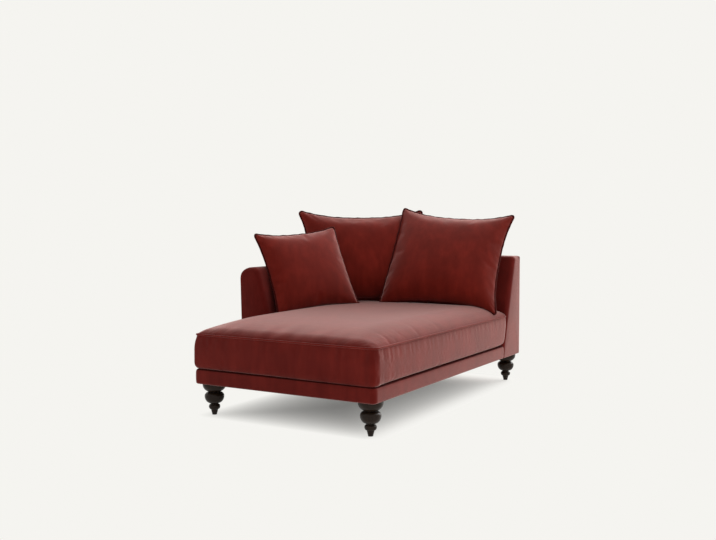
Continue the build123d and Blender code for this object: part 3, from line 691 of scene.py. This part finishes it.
CREASES = (
    # place along the right seam, depth
    (0.14, 0.0034),
    (0.27, 0.0018),
    (0.43, 0.0030),
    (0.66, 0.0016),
)
CREASE_SLANT = 0.35
CREASE_WIDTH = 0.011
CREASE_FADE = 0.045
CREASE_REACH = 0.16
seat_low, seat_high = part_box("seat_cover")
welt_low, welt_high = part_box("seat_piping")
seam_z = (welt_low.z + welt_high.z) / 2
seat_x = (seat_low.x + seat_high.x - CUSHION_LEFT_EASE) / 2
seat_half = (seat_high.x - seat_low.x + CUSHION_LEFT_EASE) / 2 - CUSHION_SIDE_INSET
seat_front = seat_low.y + CUSHION_FRONT_INSET


def box_shell(nx, ny, nz):
    """Lattice places on the six sides of a box, and the quads between them, with shared edges merged."""
    sides = []
    spans = (nx, ny, nz)
    for axis in range(3):
        u, v = (axis + 1) % 3, (axis + 2) % 3
        gu, gv = np.meshgrid(np.arange(spans[u] + 1), np.arange(spans[v] + 1), indexing="ij")
        for end in (0, spans[axis]):
            place = np.empty((*gu.shape, 3), int)
            place[..., axis], place[..., u], place[..., v] = end, gu, gv
            quads = grid_quads(place)
            sides.append(quads[:, :, ::-1] if end == 0 else quads)
    corners = np.concatenate([side.reshape(-1, 4, 3) for side in sides])
    places, index = np.unique(corners.reshape(-1, 3), axis=0, return_inverse=True)
    return places, index.reshape(-1, 4)


def nosing(away):
    """A share that rises steeply from a seam, like the side of an ellipse, and is whole at the nosing's
    depth."""
    return (1 - (1 - np.clip(away / CROWN_NOSE, 0, 1)) ** 2) ** 0.7


def seat_crown(x, y):
    """Rise of the cushion's top over its seam: a steep nosing along the seam, then a square law over each
    shoulder with a low dome between them, a longer rise from the front, and a fall towards the back."""
    off = np.abs(x - seat_x)
    fall = np.clip((off - seat_half + CROWN_SHOULDER) / CROWN_SHOULDER, 0, 1)
    across = (1 - CROWN_DOME) * (1 - fall ** 2) + CROWN_DOME * (1 - np.clip(off / seat_half, 0, 1) ** 2)
    front = 1 - (1 - np.clip((y - seat_front) / CROWN_FRONT, 0, 1)) ** CROWN_FRONT_POWER
    to_rear = np.clip((back_face(seam_z) - y) / CROWN_REAR, 0, 1)
    rear = 1 - CROWN_REAR_FALL * (1 - to_rear) ** CROWN_REAR_POWER
    nose = nosing(seat_half - off) * nosing(y - seat_front)
    dome = np.clip(across * front, 0, 1) ** CROWN_FULLNESS
    return CUSHION_CROWN * (CROWN_NOSE_SHARE * nose + (1 - CROWN_NOSE_SHARE) * dome) * rear


def uneven_wave(place, pitch, phase):
    """A wave of about this pitch along a seam, from -1 to 1, whose steps are pushed about by a slower
    wave, with a shorter one added."""
    slow = np.sin(2 * np.pi * place / (3.7 * pitch) + 2.1 * phase)
    return 0.65 * np.sin(2 * np.pi * place / pitch + 1.5 * slow + phase) + 0.35 * np.sin(
        2 * np.pi * place / (0.57 * pitch) + 3.3 * phase)


def beside(away, fade):
    """A share that is nothing at a seam, most a little way in, and gone further in."""
    return (1 - np.exp(-away / GATHER_START)) * np.exp(-away / fade)


def top_gathers(x, from_right, from_front):
    """Height of the puckers on top: broad scallops along the front seam, less slanting creases, each with
    a bell-shaped section, along the right seam."""
    scallops = GATHER_DEPTH * uneven_wave(x, GATHER_PITCH, 0.4) * beside(from_front, GATHER_FADE)
    slanted = from_front - CREASE_SLANT * from_right
    creases = sum(depth * np.exp(-((slanted - place) / CREASE_WIDTH) ** 2) for place, depth in CREASES)
    return scallops - creases * beside(from_right, CREASE_FADE)


def boxing_gathers(lower, to_right_corner, to_left_corner):
    """Depth of the puckers on the boxing: most under the seam and a little at the bottom, and fading out
    from both front corners."""
    rows = sum(
        strength * np.exp(-((lower - place) / width) ** 2) for place, width, strength in BOXING_PUCKERS)
    near_right = np.exp(-to_right_corner / CREASE_REACH)
    near_left = np.exp(-to_left_corner / CREASE_REACH)
    return BOXING_GATHER * rows * (BOXING_EVERYWHERE + near_right + BOXING_LEFT * near_left)


def cushion_form(places):
    """The lattice drawn to the cushion's form: round corners in plan, sides that bulge by part of a sine
    wave and turn under by a quarter ellipse, a bottom edge that droops, most at the front right, and the
    crown on top. The rear follows the rake of the back."""
    share = places / np.array(CUSHION_LATTICE)
    upper = share[:, 2]
    lower = 1 - upper
    z = seat_low.z + upper * (seam_z - seat_low.z)
    rear = back_face(z) - CUSHION_REAR_CLEAR
    x = seat_half * (2 * share[:, 0] - 1)
    y = seat_front + share[:, 1] ** CUSHION_GRADE * (rear - seat_front)
    corner = np.where(x > 0, CUSHION_CORNER, CUSHION_LEFT_CORNER)
    inner_x = np.clip(x, -seat_half + corner, seat_half - corner)
    inner_y = np.clip(y, seat_front + corner, rear - CUSHION_REAR_CORNER)
    off = np.stack([x - inner_x, y - inner_y], -1)
    reach = np.linalg.norm(off, axis=1)
    square = np.abs(off).max(1)
    rounder = np.where(reach > 0, square / np.maximum(reach, 1e-9), 1)
    x = inner_x + off[:, 0] * rounder
    y = inner_y + off[:, 1] * rounder
    side = np.clip(square / corner, 0, 1) ** 2

    at_front = np.exp(-np.clip(y - seat_front, 0, None) / DROOP_REACH)
    droop = DROOP_FLANK + (1 + DROOP_RIGHT * np.clip(x / seat_half, 0, 1) - DROOP_FLANK) * at_front
    droop = CUSHION_DROOP * droop * np.clip((rear - DROOP_REAR_CLEAR - y) / DROOP_REAR_FADE, 0, 1)
    under = np.clip(1 - (z - seat_low.z) / CUSHION_UNDER, 0, 1)
    bulge = BOXING_BULGE * np.sin(np.pi / 2 * np.clip(lower / BOXING_BULGE_FROM, 0, 1))
    bulge = bulge - CUSHION_UNDERCUT * (1 - np.sqrt(np.clip(1 - under ** 2, 0, 1)))
    z = z - droop * side * lower ** 3
    y = y - bulge * side * np.clip(-off[:, 1] / corner, 0, 1)
    x = x * (1 + bulge * side / seat_half)

    from_right, from_left, from_front = seat_half - x, seat_half + x, y - seat_front
    gathers = top_gathers(x, from_right, from_front)
    pucker = side * boxing_gathers(lower, np.hypot(from_right, from_front), np.hypot(from_left, from_front))
    at_flank = (places[:, 0] == 0) | (places[:, 0] == CUSHION_LATTICE[0])
    y = y - np.where(places[:, 1] == 0, pucker * uneven_wave(x, BOXING_PITCH, 0.9), 0)
    x = x + np.where(at_flank, np.sign(x) * pucker * uneven_wave(y, BOXING_PITCH, 2.2), 0)
    points = np.stack([seat_x + x, y, z], -1)
    top = places[:, 2] == CUSHION_LATTICE[2]
    points[top, 2] += seat_crown(points[top, 0], points[top, 1]) + gathers[top]
    return points


def inflated(made, held, pressure, loose, frames, cap):
    """Swells a cover with Cloth: pressure inside, no weight, cloth that is larger than its form by the loose
    share, and each point held as firmly as its share says. No point moves further than the cap."""
    mesh = made.data
    start = np.empty(len(mesh.vertices) * 3)
    mesh.vertices.foreach_get("co", start)
    start = start.reshape(-1, 3)
    group = made.vertex_groups.new(name="held")
    for level in range(1, 11):
        group.add(np.flatnonzero(np.round(held * 10) == level).tolist(), level / 10, "REPLACE")
    cloth = made.modifiers.new("swell", "CLOTH")
    settings = cloth.settings
    settings.quality = 6
    settings.mass = 0.3
    settings.tension_stiffness = 20
    settings.compression_stiffness = 20
    settings.shear_stiffness = 8
    settings.bending_stiffness = 0.6
    settings.use_pressure = True
    settings.uniform_pressure_force = pressure
    settings.shrink_min = -loose
    settings.vertex_group_mass = "held"
    settings.effector_weights.gravity = 0
    cloth.collision_settings.use_collision = False
    cloth.point_cache.frame_start = 1
    cloth.point_cache.frame_end = frames
    for step in range(1, frames + 1):
        scene.frame_set(step)
    swollen = made.evaluated_get(bpy.context.evaluated_depsgraph_get()).data
    moved = np.empty(len(mesh.vertices) * 3)
    swollen.vertices.foreach_get("co", moved)
    step = moved.reshape(-1, 3) - start
    far = np.linalg.norm(step, axis=1, keepdims=True)
    step *= np.minimum(1, cap / np.maximum(far, 1e-9))
    made.modifiers.remove(cloth)
    made.vertex_groups.clear()
    scene.frame_set(1)
    mesh.vertices.foreach_set("co", (start + step).reshape(-1))
    mesh.update()
    return start + step


def subdivided(made, seam):
    """One level of subdivision, the same in the view and in the render. It stays sharp along the seam."""
    mesh = made.data
    ends = np.empty(len(mesh.edges) * 2, int)
    mesh.edges.foreach_get("vertices", ends)
    sharp = seam[ends.reshape(-1, 2)].all(1)
    mesh.attributes.new("crease_edge", "FLOAT", "EDGE").data.foreach_set("value", sharp.astype(float))
    rounder = made.modifiers.new("round", "SUBSURF")
    rounder.levels = 1
    rounder.render_levels = 1


CUSHION_PRESSURE = 2.0
CUSHION_LOOSE = 0.012
CUSHION_FRAMES = 20
CUSHION_CAP = 0.012
HOLD_AT_CORNER = 0.45
HOLD_MORE = 0.35
HOLD_REACH = 0.32
HOLD_TOP_REACH = 0.16
cushion_places, cushion_quads = box_shell(*CUSHION_LATTICE)
lattice_top = cushion_places[:, 2] == CUSHION_LATTICE[2]
lattice_bottom = cushion_places[:, 2] == 0
lattice_seam = lattice_top & (cushion_places[:, :2] % CUSHION_LATTICE[:2] == 0).any(1)


def cushion_hold(points):
    """How firmly the cover is held as it swells: least at the front corners, more away from them, wholly on
    the bottom and the seam, and on top more with every step in from the seam."""
    from_side, from_front = seat_half - np.abs(points[:, 0] - seat_x), points[:, 1] - seat_front
    hold = HOLD_AT_CORNER + HOLD_MORE * np.clip(np.hypot(from_side, from_front) / HOLD_REACH, 0, 1)
    inside = np.clip(np.minimum(from_side, from_front) / HOLD_TOP_REACH, 0, 1)
    hold = np.where(lattice_top, np.clip(hold + inside, 0, 1), hold)
    hold[lattice_seam | lattice_bottom] = 1.0
    return hold


cushion_points = cushion_form(cushion_places)
cushion = meshed("seat_cushion_cover", cushion_points, cushion_quads.tolist())
cushion_points = inflated(cushion, cushion_hold(cushion_points), CUSHION_PRESSURE, CUSHION_LOOSE,
                          CUSHION_FRAMES, CUSHION_CAP)
subdivided(cushion, lattice_seam)
clothe(cushion, red_velvet, "velvet", "seat_cushion", "seat_cover", "seat_fibre_wrap", "seat_foam_core")
# The cushion's bottom faces take the painted shade of the groove.
paint_groove_shade(cushion, (cushion_places[cushion_quads][..., 2] == 0).all(1))

WELT_RADIUS = 0.0046
WELT_PROUD = 0.0010
WELT_REAR_CLEAR = 0.004
welt_velvet = velvet("welt_velvet", (0.125, 0.0090, 0.0065, 1), (0.180, 0.0150, 0.0110, 1), 0.6)


def tube(name, path, out, radius, sides=10):
    """A round cord along a closed path. Each ring stands square to the path, on its outward way and on the
    cross product of the two."""
    along = np.roll(path, -1, 0) - np.roll(path, 1, 0)
    along /= np.linalg.norm(along, axis=1, keepdims=True)
    out = out - along * (out * along).sum(1, keepdims=True)
    out /= np.linalg.norm(out, axis=1, keepdims=True)
    up = np.cross(along, out)
    angle = np.linspace(0, 2 * np.pi, sides, endpoint=False)
    rings = path[:, None] + radius * (
        out[:, None] * np.cos(angle)[None, :, None] + up[:, None] * np.sin(angle)[None, :, None])
    return surface(name, rings, around=True, along=True)


welt_rear = back_face(seam_z) - WELT_REAR_CLEAR
welt_plan = evened(rounded_outline(
    [(seat_x - seat_half, seat_front), (seat_x + seat_half, seat_front),
     (seat_x + seat_half, welt_rear), (seat_x - seat_half, welt_rear)],
    [CUSHION_LEFT_CORNER, CUSHION_CORNER, CUSHION_REAR_CORNER, CUSHION_REAR_CORNER], 12), 0.008)
welt_out = np.column_stack([outward(welt_plan), np.zeros(len(welt_plan))])
welt_path = np.column_stack([welt_plan, np.full(len(welt_plan), seam_z)]) + welt_out * WELT_PROUD
welt = tube("seat_welt", welt_path, welt_out, WELT_RADIUS)
clothe(welt, welt_velvet, "velvet_piping", "seat_cushion", "seat_piping")


# Pillows
# Three loose pillows, each two squares of velvet sewn together round a piped edge and stuffed with fibre.
# The corner pillow leans on the arm and the back, and the others lean beside and on it.

PILLOW_CELLS = 60
PILLOW_EAR = 0.014
PILLOW_DRAW = 2.6
PILLOW_PLUMP = 2.6
PILLOW_SAG = 0.08
PILLOW_PIPING = 0.0054
PIPING_PROUD = 0.6
PILLOW_SINK = 0.038
PILLOW_GAP = 0.0015
PILLOW_WAVE = 0.0012
PILLOW_WAVE_PITCH = 0.075
PILLOW_PRESSURE = 2.0
PILLOW_LOOSE = 0.004
PILLOW_FRAMES = 16
PILLOW_CAP = 0.012
PRESS_EASE = 0.006
OVER_ARM = (0.045, 0.06)
OVER_BACK = (0.022, 0.03)
PILLOW_SIZES = {
    # width, height, thickness, how far the left side, the right side and the top are drawn in between the
    # ears, from the open side, from the rear, turn, lean, roll
    "corner_pillow": (0.782, 0.630, 0.165, 0.060, 0.012, 0.054, 0.806, 0.468, 38.0, 21.8, 0.0),
    "large_pillow": (0.698, 0.694, 0.170, 0.000, 0.042, 0.058, 0.346, 0.439, 12.8, 33.5, -4.1),
    "small_pillow": (0.530, 0.528, 0.140, 0.022, 0.012, 0.032, 0.887, 0.844, 60.0, 27.2, 4.8),
}
# The pillows' velvet is paler than the seat's: painted light that brightens the pillows.
pillow_painted_light_velvet = velvet("pillow_painted_light_velvet", (0.148, 0.0098, 0.0052, 1), (0.214, 0.0155, 0.0088, 1), 1.0, 0.40)
# The piping's velvet is much darker, with little sheen: painted shade along the pillows' piped edges.
piping_painted_shade_velvet = velvet("piping_painted_shade_velvet", (0.050, 0.0030, 0.0024, 1), (0.085, 0.0060, 0.0045, 1), 0.3)
even_steps = np.linspace(-1, 1, PILLOW_CELLS + 1)
pillow_line = 0.3 * even_steps + 0.7 * np.sin(np.pi / 2 * even_steps)
seat_heights = cushion_points[lattice_top, 2].reshape(CUSHION_LATTICE[0] + 1, CUSHION_LATTICE[1] + 1)


def two_squares(cells):
    """Places of a front and a back grid that share their rim, their quads, and the rim's points in order.
    The grid's lines crowd towards its sides, by part of a sine."""
    count = cells + 1
    front = np.arange(count * count).reshape(count, count)
    rim_mask = np.zeros((count, count), bool)
    rim_mask[[0, -1]] = True
    rim_mask[:, [0, -1]] = True
    rear = front.copy()
    rear[~rim_mask] = count * count + np.arange((~rim_mask).sum())
    quads = [grid_quads(grid)[..., [0, 3, 2, 1]].reshape(-1, 4) for grid in (front, rear)]
    v, u = np.meshgrid(pillow_line, pillow_line, indexing="ij")
    places = np.concatenate([np.stack([u, v, np.ones_like(u)], -1).reshape(-1, 3),
                             np.stack([u, v, -np.ones_like(u)], -1)[~rim_mask]])
    places[: count * count][rim_mask.reshape(-1), 2] = 0
    rim = np.concatenate([front[0, :-1], front[:-1, -1], front[-1, :0:-1], front[:0:-1, 0]])
    return places, np.concatenate([quads[0], quads[1][:, ::-1]]), rim


def eared(a, b, tip, along_top, along_side):
    """Rounds the point where two sides meet: places beyond an arc that touches both are drawn in along its
    radii."""
    along_top, along_side = (way / np.linalg.norm(way) for way in (along_top, along_side))
    inward = (along_top + along_side) / np.linalg.norm(along_top + along_side)
    half = np.arccos(np.clip(along_top @ along_side, -1, 1)) / 2
    centre = tip + inward * PILLOW_EAR / np.sin(half)
    off_a, off_b = a - centre[0], b - centre[1]
    outward_share = -(off_a * inward[0] + off_b * inward[1]) / np.maximum(np.hypot(off_a, off_b), 1e-9)
    spare = np.clip(np.pi / 2 - half - np.arccos(np.clip(outward_share, -1, 1)), 0, None)
    return centre[0] + off_a * np.cos(spare), centre[1] + off_b * np.cos(spare)


def pillow_axes(height, from_side, from_rear, turn, lean, roll):
    """The pillow's middle and its three ways: across, upward and out of its front."""
    turn, lean, roll = np.radians([turn, lean, roll])
    level = np.array([np.cos(turn), np.sin(turn), 0])
    front = np.array([np.sin(turn), -np.cos(turn), 0])
    rise = np.array([0, 0, np.cos(lean)]) - front * np.sin(lean)
    across = level * np.cos(roll) + rise * np.sin(roll)
    upward = rise * np.cos(roll) - level * np.sin(roll)
    out = front * np.cos(lean) + np.array([0, 0, np.sin(lean)])
    x, y = end_high.x - from_side, end_high.y - from_rear
    foot_point = np.array([x, y, seam_z + seat_crown(x, y) - PILLOW_SINK])
    return foot_point + upward * height / 2, np.array([across, upward, out])


def read_grid(grid, u, v):
    """Values of a grid between its places, straight from the four around each (u, v), both from 0 to 1."""
    rows, columns = grid.shape
    i = np.clip(u, 0, 1) * (rows - 1)
    j = np.clip(v, 0, 1) * (columns - 1)
    i0 = np.minimum(i.astype(int), rows - 2)
    j0 = np.minimum(j.astype(int), columns - 2)
    fi, fj = i - i0, j - j0
    return ((grid[i0, j0] * (1 - fj) + grid[i0, j0 + 1] * fj) * (1 - fi)
            + (grid[i0 + 1, j0] * (1 - fj) + grid[i0 + 1, j0 + 1] * fj) * fi)


def softly_over(value, least):
    """The larger of two values, eased into one another where they are close."""
    return 0.5 * (value + least + np.sqrt((value - least) ** 2 + PRESS_EASE ** 2))


def past(z, top, over):
    """How far a face has rounded off near its top: the square of the way past the start of the round."""
    start, ease = over
    return ease * np.clip((z - top + start) / start, 0, None) ** 2


def pressed(points):
    """Pushes a pillow out of the arm, the back and the seat, each read at the pillow's own points."""
    x, y, z = points.T
    up_arm = np.sin(np.pi * np.clip((z - seat_floor) / (nose_high.z - seat_floor), 0, 1))
    arm_side = arm_face(z) + ARM_CROWN * up_arm - past(z, nose_high.z, OVER_ARM)
    x = softly_over(x, arm_side + PILLOW_GAP)
    up_back = np.sin(np.pi * np.clip((z - band_high.z) / (end_high.z - band_high.z), 0, 1))
    back_side = back_face(z) - BACK_CROWN * up_back + past(z, end_high.z, OVER_BACK)
    y = -softly_over(-y, PILLOW_GAP - back_side)
    u = (x - seat_x + seat_half) / (2 * seat_half)
    v = np.clip((y - seat_front) / (back_face(seam_z) - seat_front), 0, 1) ** (1 / CUSHION_GRADE)
    z = softly_over(z, read_grid(seat_heights, u, v) + PILLOW_GAP)
    return np.stack([x, y, z], -1)


def before(points, other):
    """Pushes a pillow out of the front of another, read in that other's own axes."""
    middle, ways, (w, h), front = other
    a, b, d = ((points - middle) @ ways.T).T
    over = (np.abs(a) < w) & (np.abs(b) < h)
    steps = np.linspace(0, 1, len(pillow_line))
    front = read_grid(front, np.interp(b / h, pillow_line, steps), np.interp(a / w, pillow_line, steps))
    d = np.where(over, softly_over(d, front + PILLOW_GAP), d)
    return middle + np.stack([a, b, d], -1) @ ways


def pillow(name, behind=None):
    """Two squares with drawn-in sides, plump by a power law, swollen a little, sagged and set in place. Then
    they are pushed out of what they lean on: the pillow behind, the arm, the back and the seat."""
    width, height, thickness, left, right, top, *place = PILLOW_SIZES[name]
    places, quads, rim = two_squares(PILLOW_CELLS)
    u, v, side = places.T
    w, h = width / 2, height / 2
    plump = ((1 - np.abs(u) ** PILLOW_PLUMP) * (1 - np.abs(v) ** PILLOW_PLUMP)) ** 0.5
    at_edge = np.maximum(np.abs(u), np.abs(v)) ** 16
    ease = PILLOW_WAVE * uneven_wave(u * w + v * h, PILLOW_WAVE_PITCH, w) * at_edge
    a = u * (w - np.where(u < 0, left, right) * (1 - np.abs(v) ** PILLOW_DRAW) + ease)
    b = v * (h - top * (1 - np.abs(u) ** PILLOW_DRAW) + ease)
    for to_right, draw in ((-1, left), (1, right)):
        for to_top in (-1, 1):
            way = np.array([-to_right, -to_top])
            a, b = eared(a, b, np.array([to_right * w, to_top * h]), way * (w, PILLOW_DRAW * top),
                         way * (PILLOW_DRAW * draw, h))
    local = np.stack([a, b, side * plump * thickness / 2 + ease], -1)
    made = meshed(f"{name}_velvet", local, quads.tolist())
    local = inflated(made, (side == 0) * 1.0, PILLOW_PRESSURE, PILLOW_LOOSE, PILLOW_FRAMES, PILLOW_CAP)
    a, b, d = local.T
    middle, ways = pillow_axes(height, *place)
    points = middle + np.stack([a, b, d * (1 - PILLOW_SAG * b / h)], -1) @ ways
    if behind is not None:
        points = before(points, behind)
    points = pressed(points)
    made.data.vertices.foreach_set("co", points.reshape(-1))
    made.data.update()
    outways = u[rim][:, None] * ways[0] + v[rim][:, None] * ways[1]
    proud = PIPING_PROUD * PILLOW_PIPING * np.abs(u[rim] * v[rim])[:, None] ** 3
    piping = tube(f"{name}_cord", points[rim] + outways * proud, outways, PILLOW_PIPING)
    subdivided(made, side == 0)
    clothe(made, pillow_painted_light_velvet, "velvet", name, f"{name}_cover", f"{name}_filling")
    clothe(piping, piping_painted_shade_velvet, "velvet_piping", name, f"{name}_piping")
    count = PILLOW_CELLS + 1
    front = ((points[: count * count] - middle) @ ways[2]).reshape(count, count)
    return middle, ways, (w, h), front


corner_place = pillow("corner_pillow")
for name in ("large_pillow", "small_pillow"):
    pillow(name, corner_place)


# Floor, light and camera
# A pale seamless floor and background, under an even sky and two wide soft lamps, one overhead and one
# behind. The floor glows in its own colour for the camera; under the object the glow fades with the depth
# inside its plan, so the shadow there is partly painted: the fade sets where the real shade shows and how
# soft its edge is, and the glow paints over the shadow beyond the plan.

PALE = (0.913, 0.905, 0.871, 1)
FLOOR_REACH = 30.0
FLOOR_SHADE = 0.19
FLOOR_LEAST = 0.115
FLOOR_EDGE = 0.93
FLOOR_CORNER = 0.12
SKY_LIGHT = 0.44
LAMPS = {
    # tilt towards the open side and towards the foot end in degrees, strength, spread in degrees
    "overhead": (8.0, -39.0, 2.7, 60.0),
    "behind": (7.0, -68.0, 1.45, 50.0),
}
CAMERA_PLACE = (2.5185, -4.258, 0.959)
CAMERA_YAW = 0.5317
CAMERA_PITCH = 0.0559
CAMERA_LENS = 45.25


def worked(tree, operation, *sources, **values):
    """The result of one Math node on values or sockets."""
    made = place_node(tree, "ShaderNodeMath", list(enumerate(sources)), operation=operation, **values)
    return made.outputs[0]


def looked_at(tree):
    """A mask that is 1 on what the camera sees, straight or by way of gloss or glass."""
    ray = place_node(tree, "ShaderNodeLightPath")
    straight = worked(tree, "ADD", ray.outputs["Is Camera Ray"], ray.outputs["Is Glossy Ray"])
    return worked(tree, "ADD", straight, ray.outputs["Is Transmission Ray"], use_clamp=True)


def depth_inside(tree, low, high):
    """How far a place on the floor is in from the nearest side of a rectangle, eased at its corners."""
    middle = ((low[0] + high[0]) / 2, (low[1] + high[1]) / 2, 0)
    half = ((high[0] - low[0]) / 2, (high[1] - low[1]) / 2, 0)
    where = place_node(tree, "ShaderNodeTexCoord")
    off = place_node(tree, "ShaderNodeVectorMath", [
        (0, where.outputs["Object"]), (1, middle)], operation="SUBTRACT")
    off = place_node(tree, "ShaderNodeVectorMath", [(0, off.outputs["Vector"])], operation="ABSOLUTE")
    inside = place_node(tree, "ShaderNodeVectorMath", [
        (0, half), (1, off.outputs["Vector"])], operation="SUBTRACT")
    parts = place_node(tree, "ShaderNodeSeparateXYZ", [("Vector", inside.outputs["Vector"])])
    return worked(tree, "SMOOTH_MIN", parts.outputs["X"], parts.outputs["Y"], FLOOR_CORNER)


floor_grid = np.linspace(-FLOOR_REACH, FLOOR_REACH, 2)
floor_x, floor_y = np.meshgrid(floor_grid, floor_grid)
floor = surface("pale_floor", np.stack([floor_x, floor_y, np.zeros_like(floor_x)], -1))
floor_material, tree, floor_shader = finish("pale_floor", {
    "Base Color": PALE, "Roughness": 1.0, "Specular IOR Level": 0.0})
# The pale glow fades with the depth inside the object's plan: painted light that shapes the shadow's extent
# and soft edge over the floor's real shade.
floor_depth = worked(
    tree, "MAXIMUM", depth_inside(tree, (band_low.x, band_low.y), (band_high.x, end_high.y)),
    depth_inside(tree, (nose_low.x, nose_low.y), (end_high.x, end_high.y)))
floor_fall = worked(tree, "EXPONENT", worked(tree, "MULTIPLY", floor_depth, -1 / FLOOR_SHADE))
floor_painted_light = worked(tree, "MULTIPLY_ADD", floor_fall, FLOOR_EDGE - FLOOR_LEAST, FLOOR_LEAST, use_clamp=True)
floor_seen = worked(tree, "MULTIPLY", floor_painted_light, looked_at(tree))
floor_glow = place_node(tree, "ShaderNodeEmission", [("Color", PALE), ("Strength", 1.0)])
floor_mix = place_node(tree, "ShaderNodeMixShader", [
    (0, floor_seen), (1, floor_shader.outputs["BSDF"]), (2, floor_glow.outputs["Emission"])])
tree.links.new(floor_mix.outputs["Shader"], tree.nodes["Material Output"].inputs["Surface"])
floor.data.materials.append(floor_material)

world = bpy.data.worlds.new("studio")
scene.world = world
world.use_nodes = True
sky = world.node_tree
sky_light = sky.nodes["Background"]
sky_light.inputs["Color"].default_value = (1, 1, 1, 1)
sky_light.inputs["Strength"].default_value = SKY_LIGHT
sky_seen = place_node(sky, "ShaderNodeBackground", [("Color", PALE), ("Strength", 1.0)])
sky_mix = place_node(sky, "ShaderNodeMixShader", [
    (0, looked_at(sky)), (1, sky_light.outputs["Background"]), (2, sky_seen.outputs["Background"])])
sky.links.new(sky_mix.outputs["Shader"], sky.nodes["World Output"].inputs["Surface"])

for name, (to_side, to_front, strength, spread) in LAMPS.items():
    lamp = bpy.data.objects.new(name, bpy.data.lights.new(name, "SUN"))
    lamp.data.energy = strength
    lamp.data.angle = np.radians(spread)
    lamp.rotation_euler = (np.radians(to_front), np.radians(to_side), 0)
    scene.collection.objects.link(lamp)

camera = bpy.data.objects.new("camera", bpy.data.cameras.new("camera"))
camera.location = CAMERA_PLACE
camera.rotation_euler = (np.pi / 2 - CAMERA_PITCH, 0, CAMERA_YAW)
camera.data.sensor_width = 36.0
camera.data.lens = CAMERA_LENS
scene.collection.objects.link(camera)
scene.camera = camera
scene.view_settings.view_transform = "Standard"
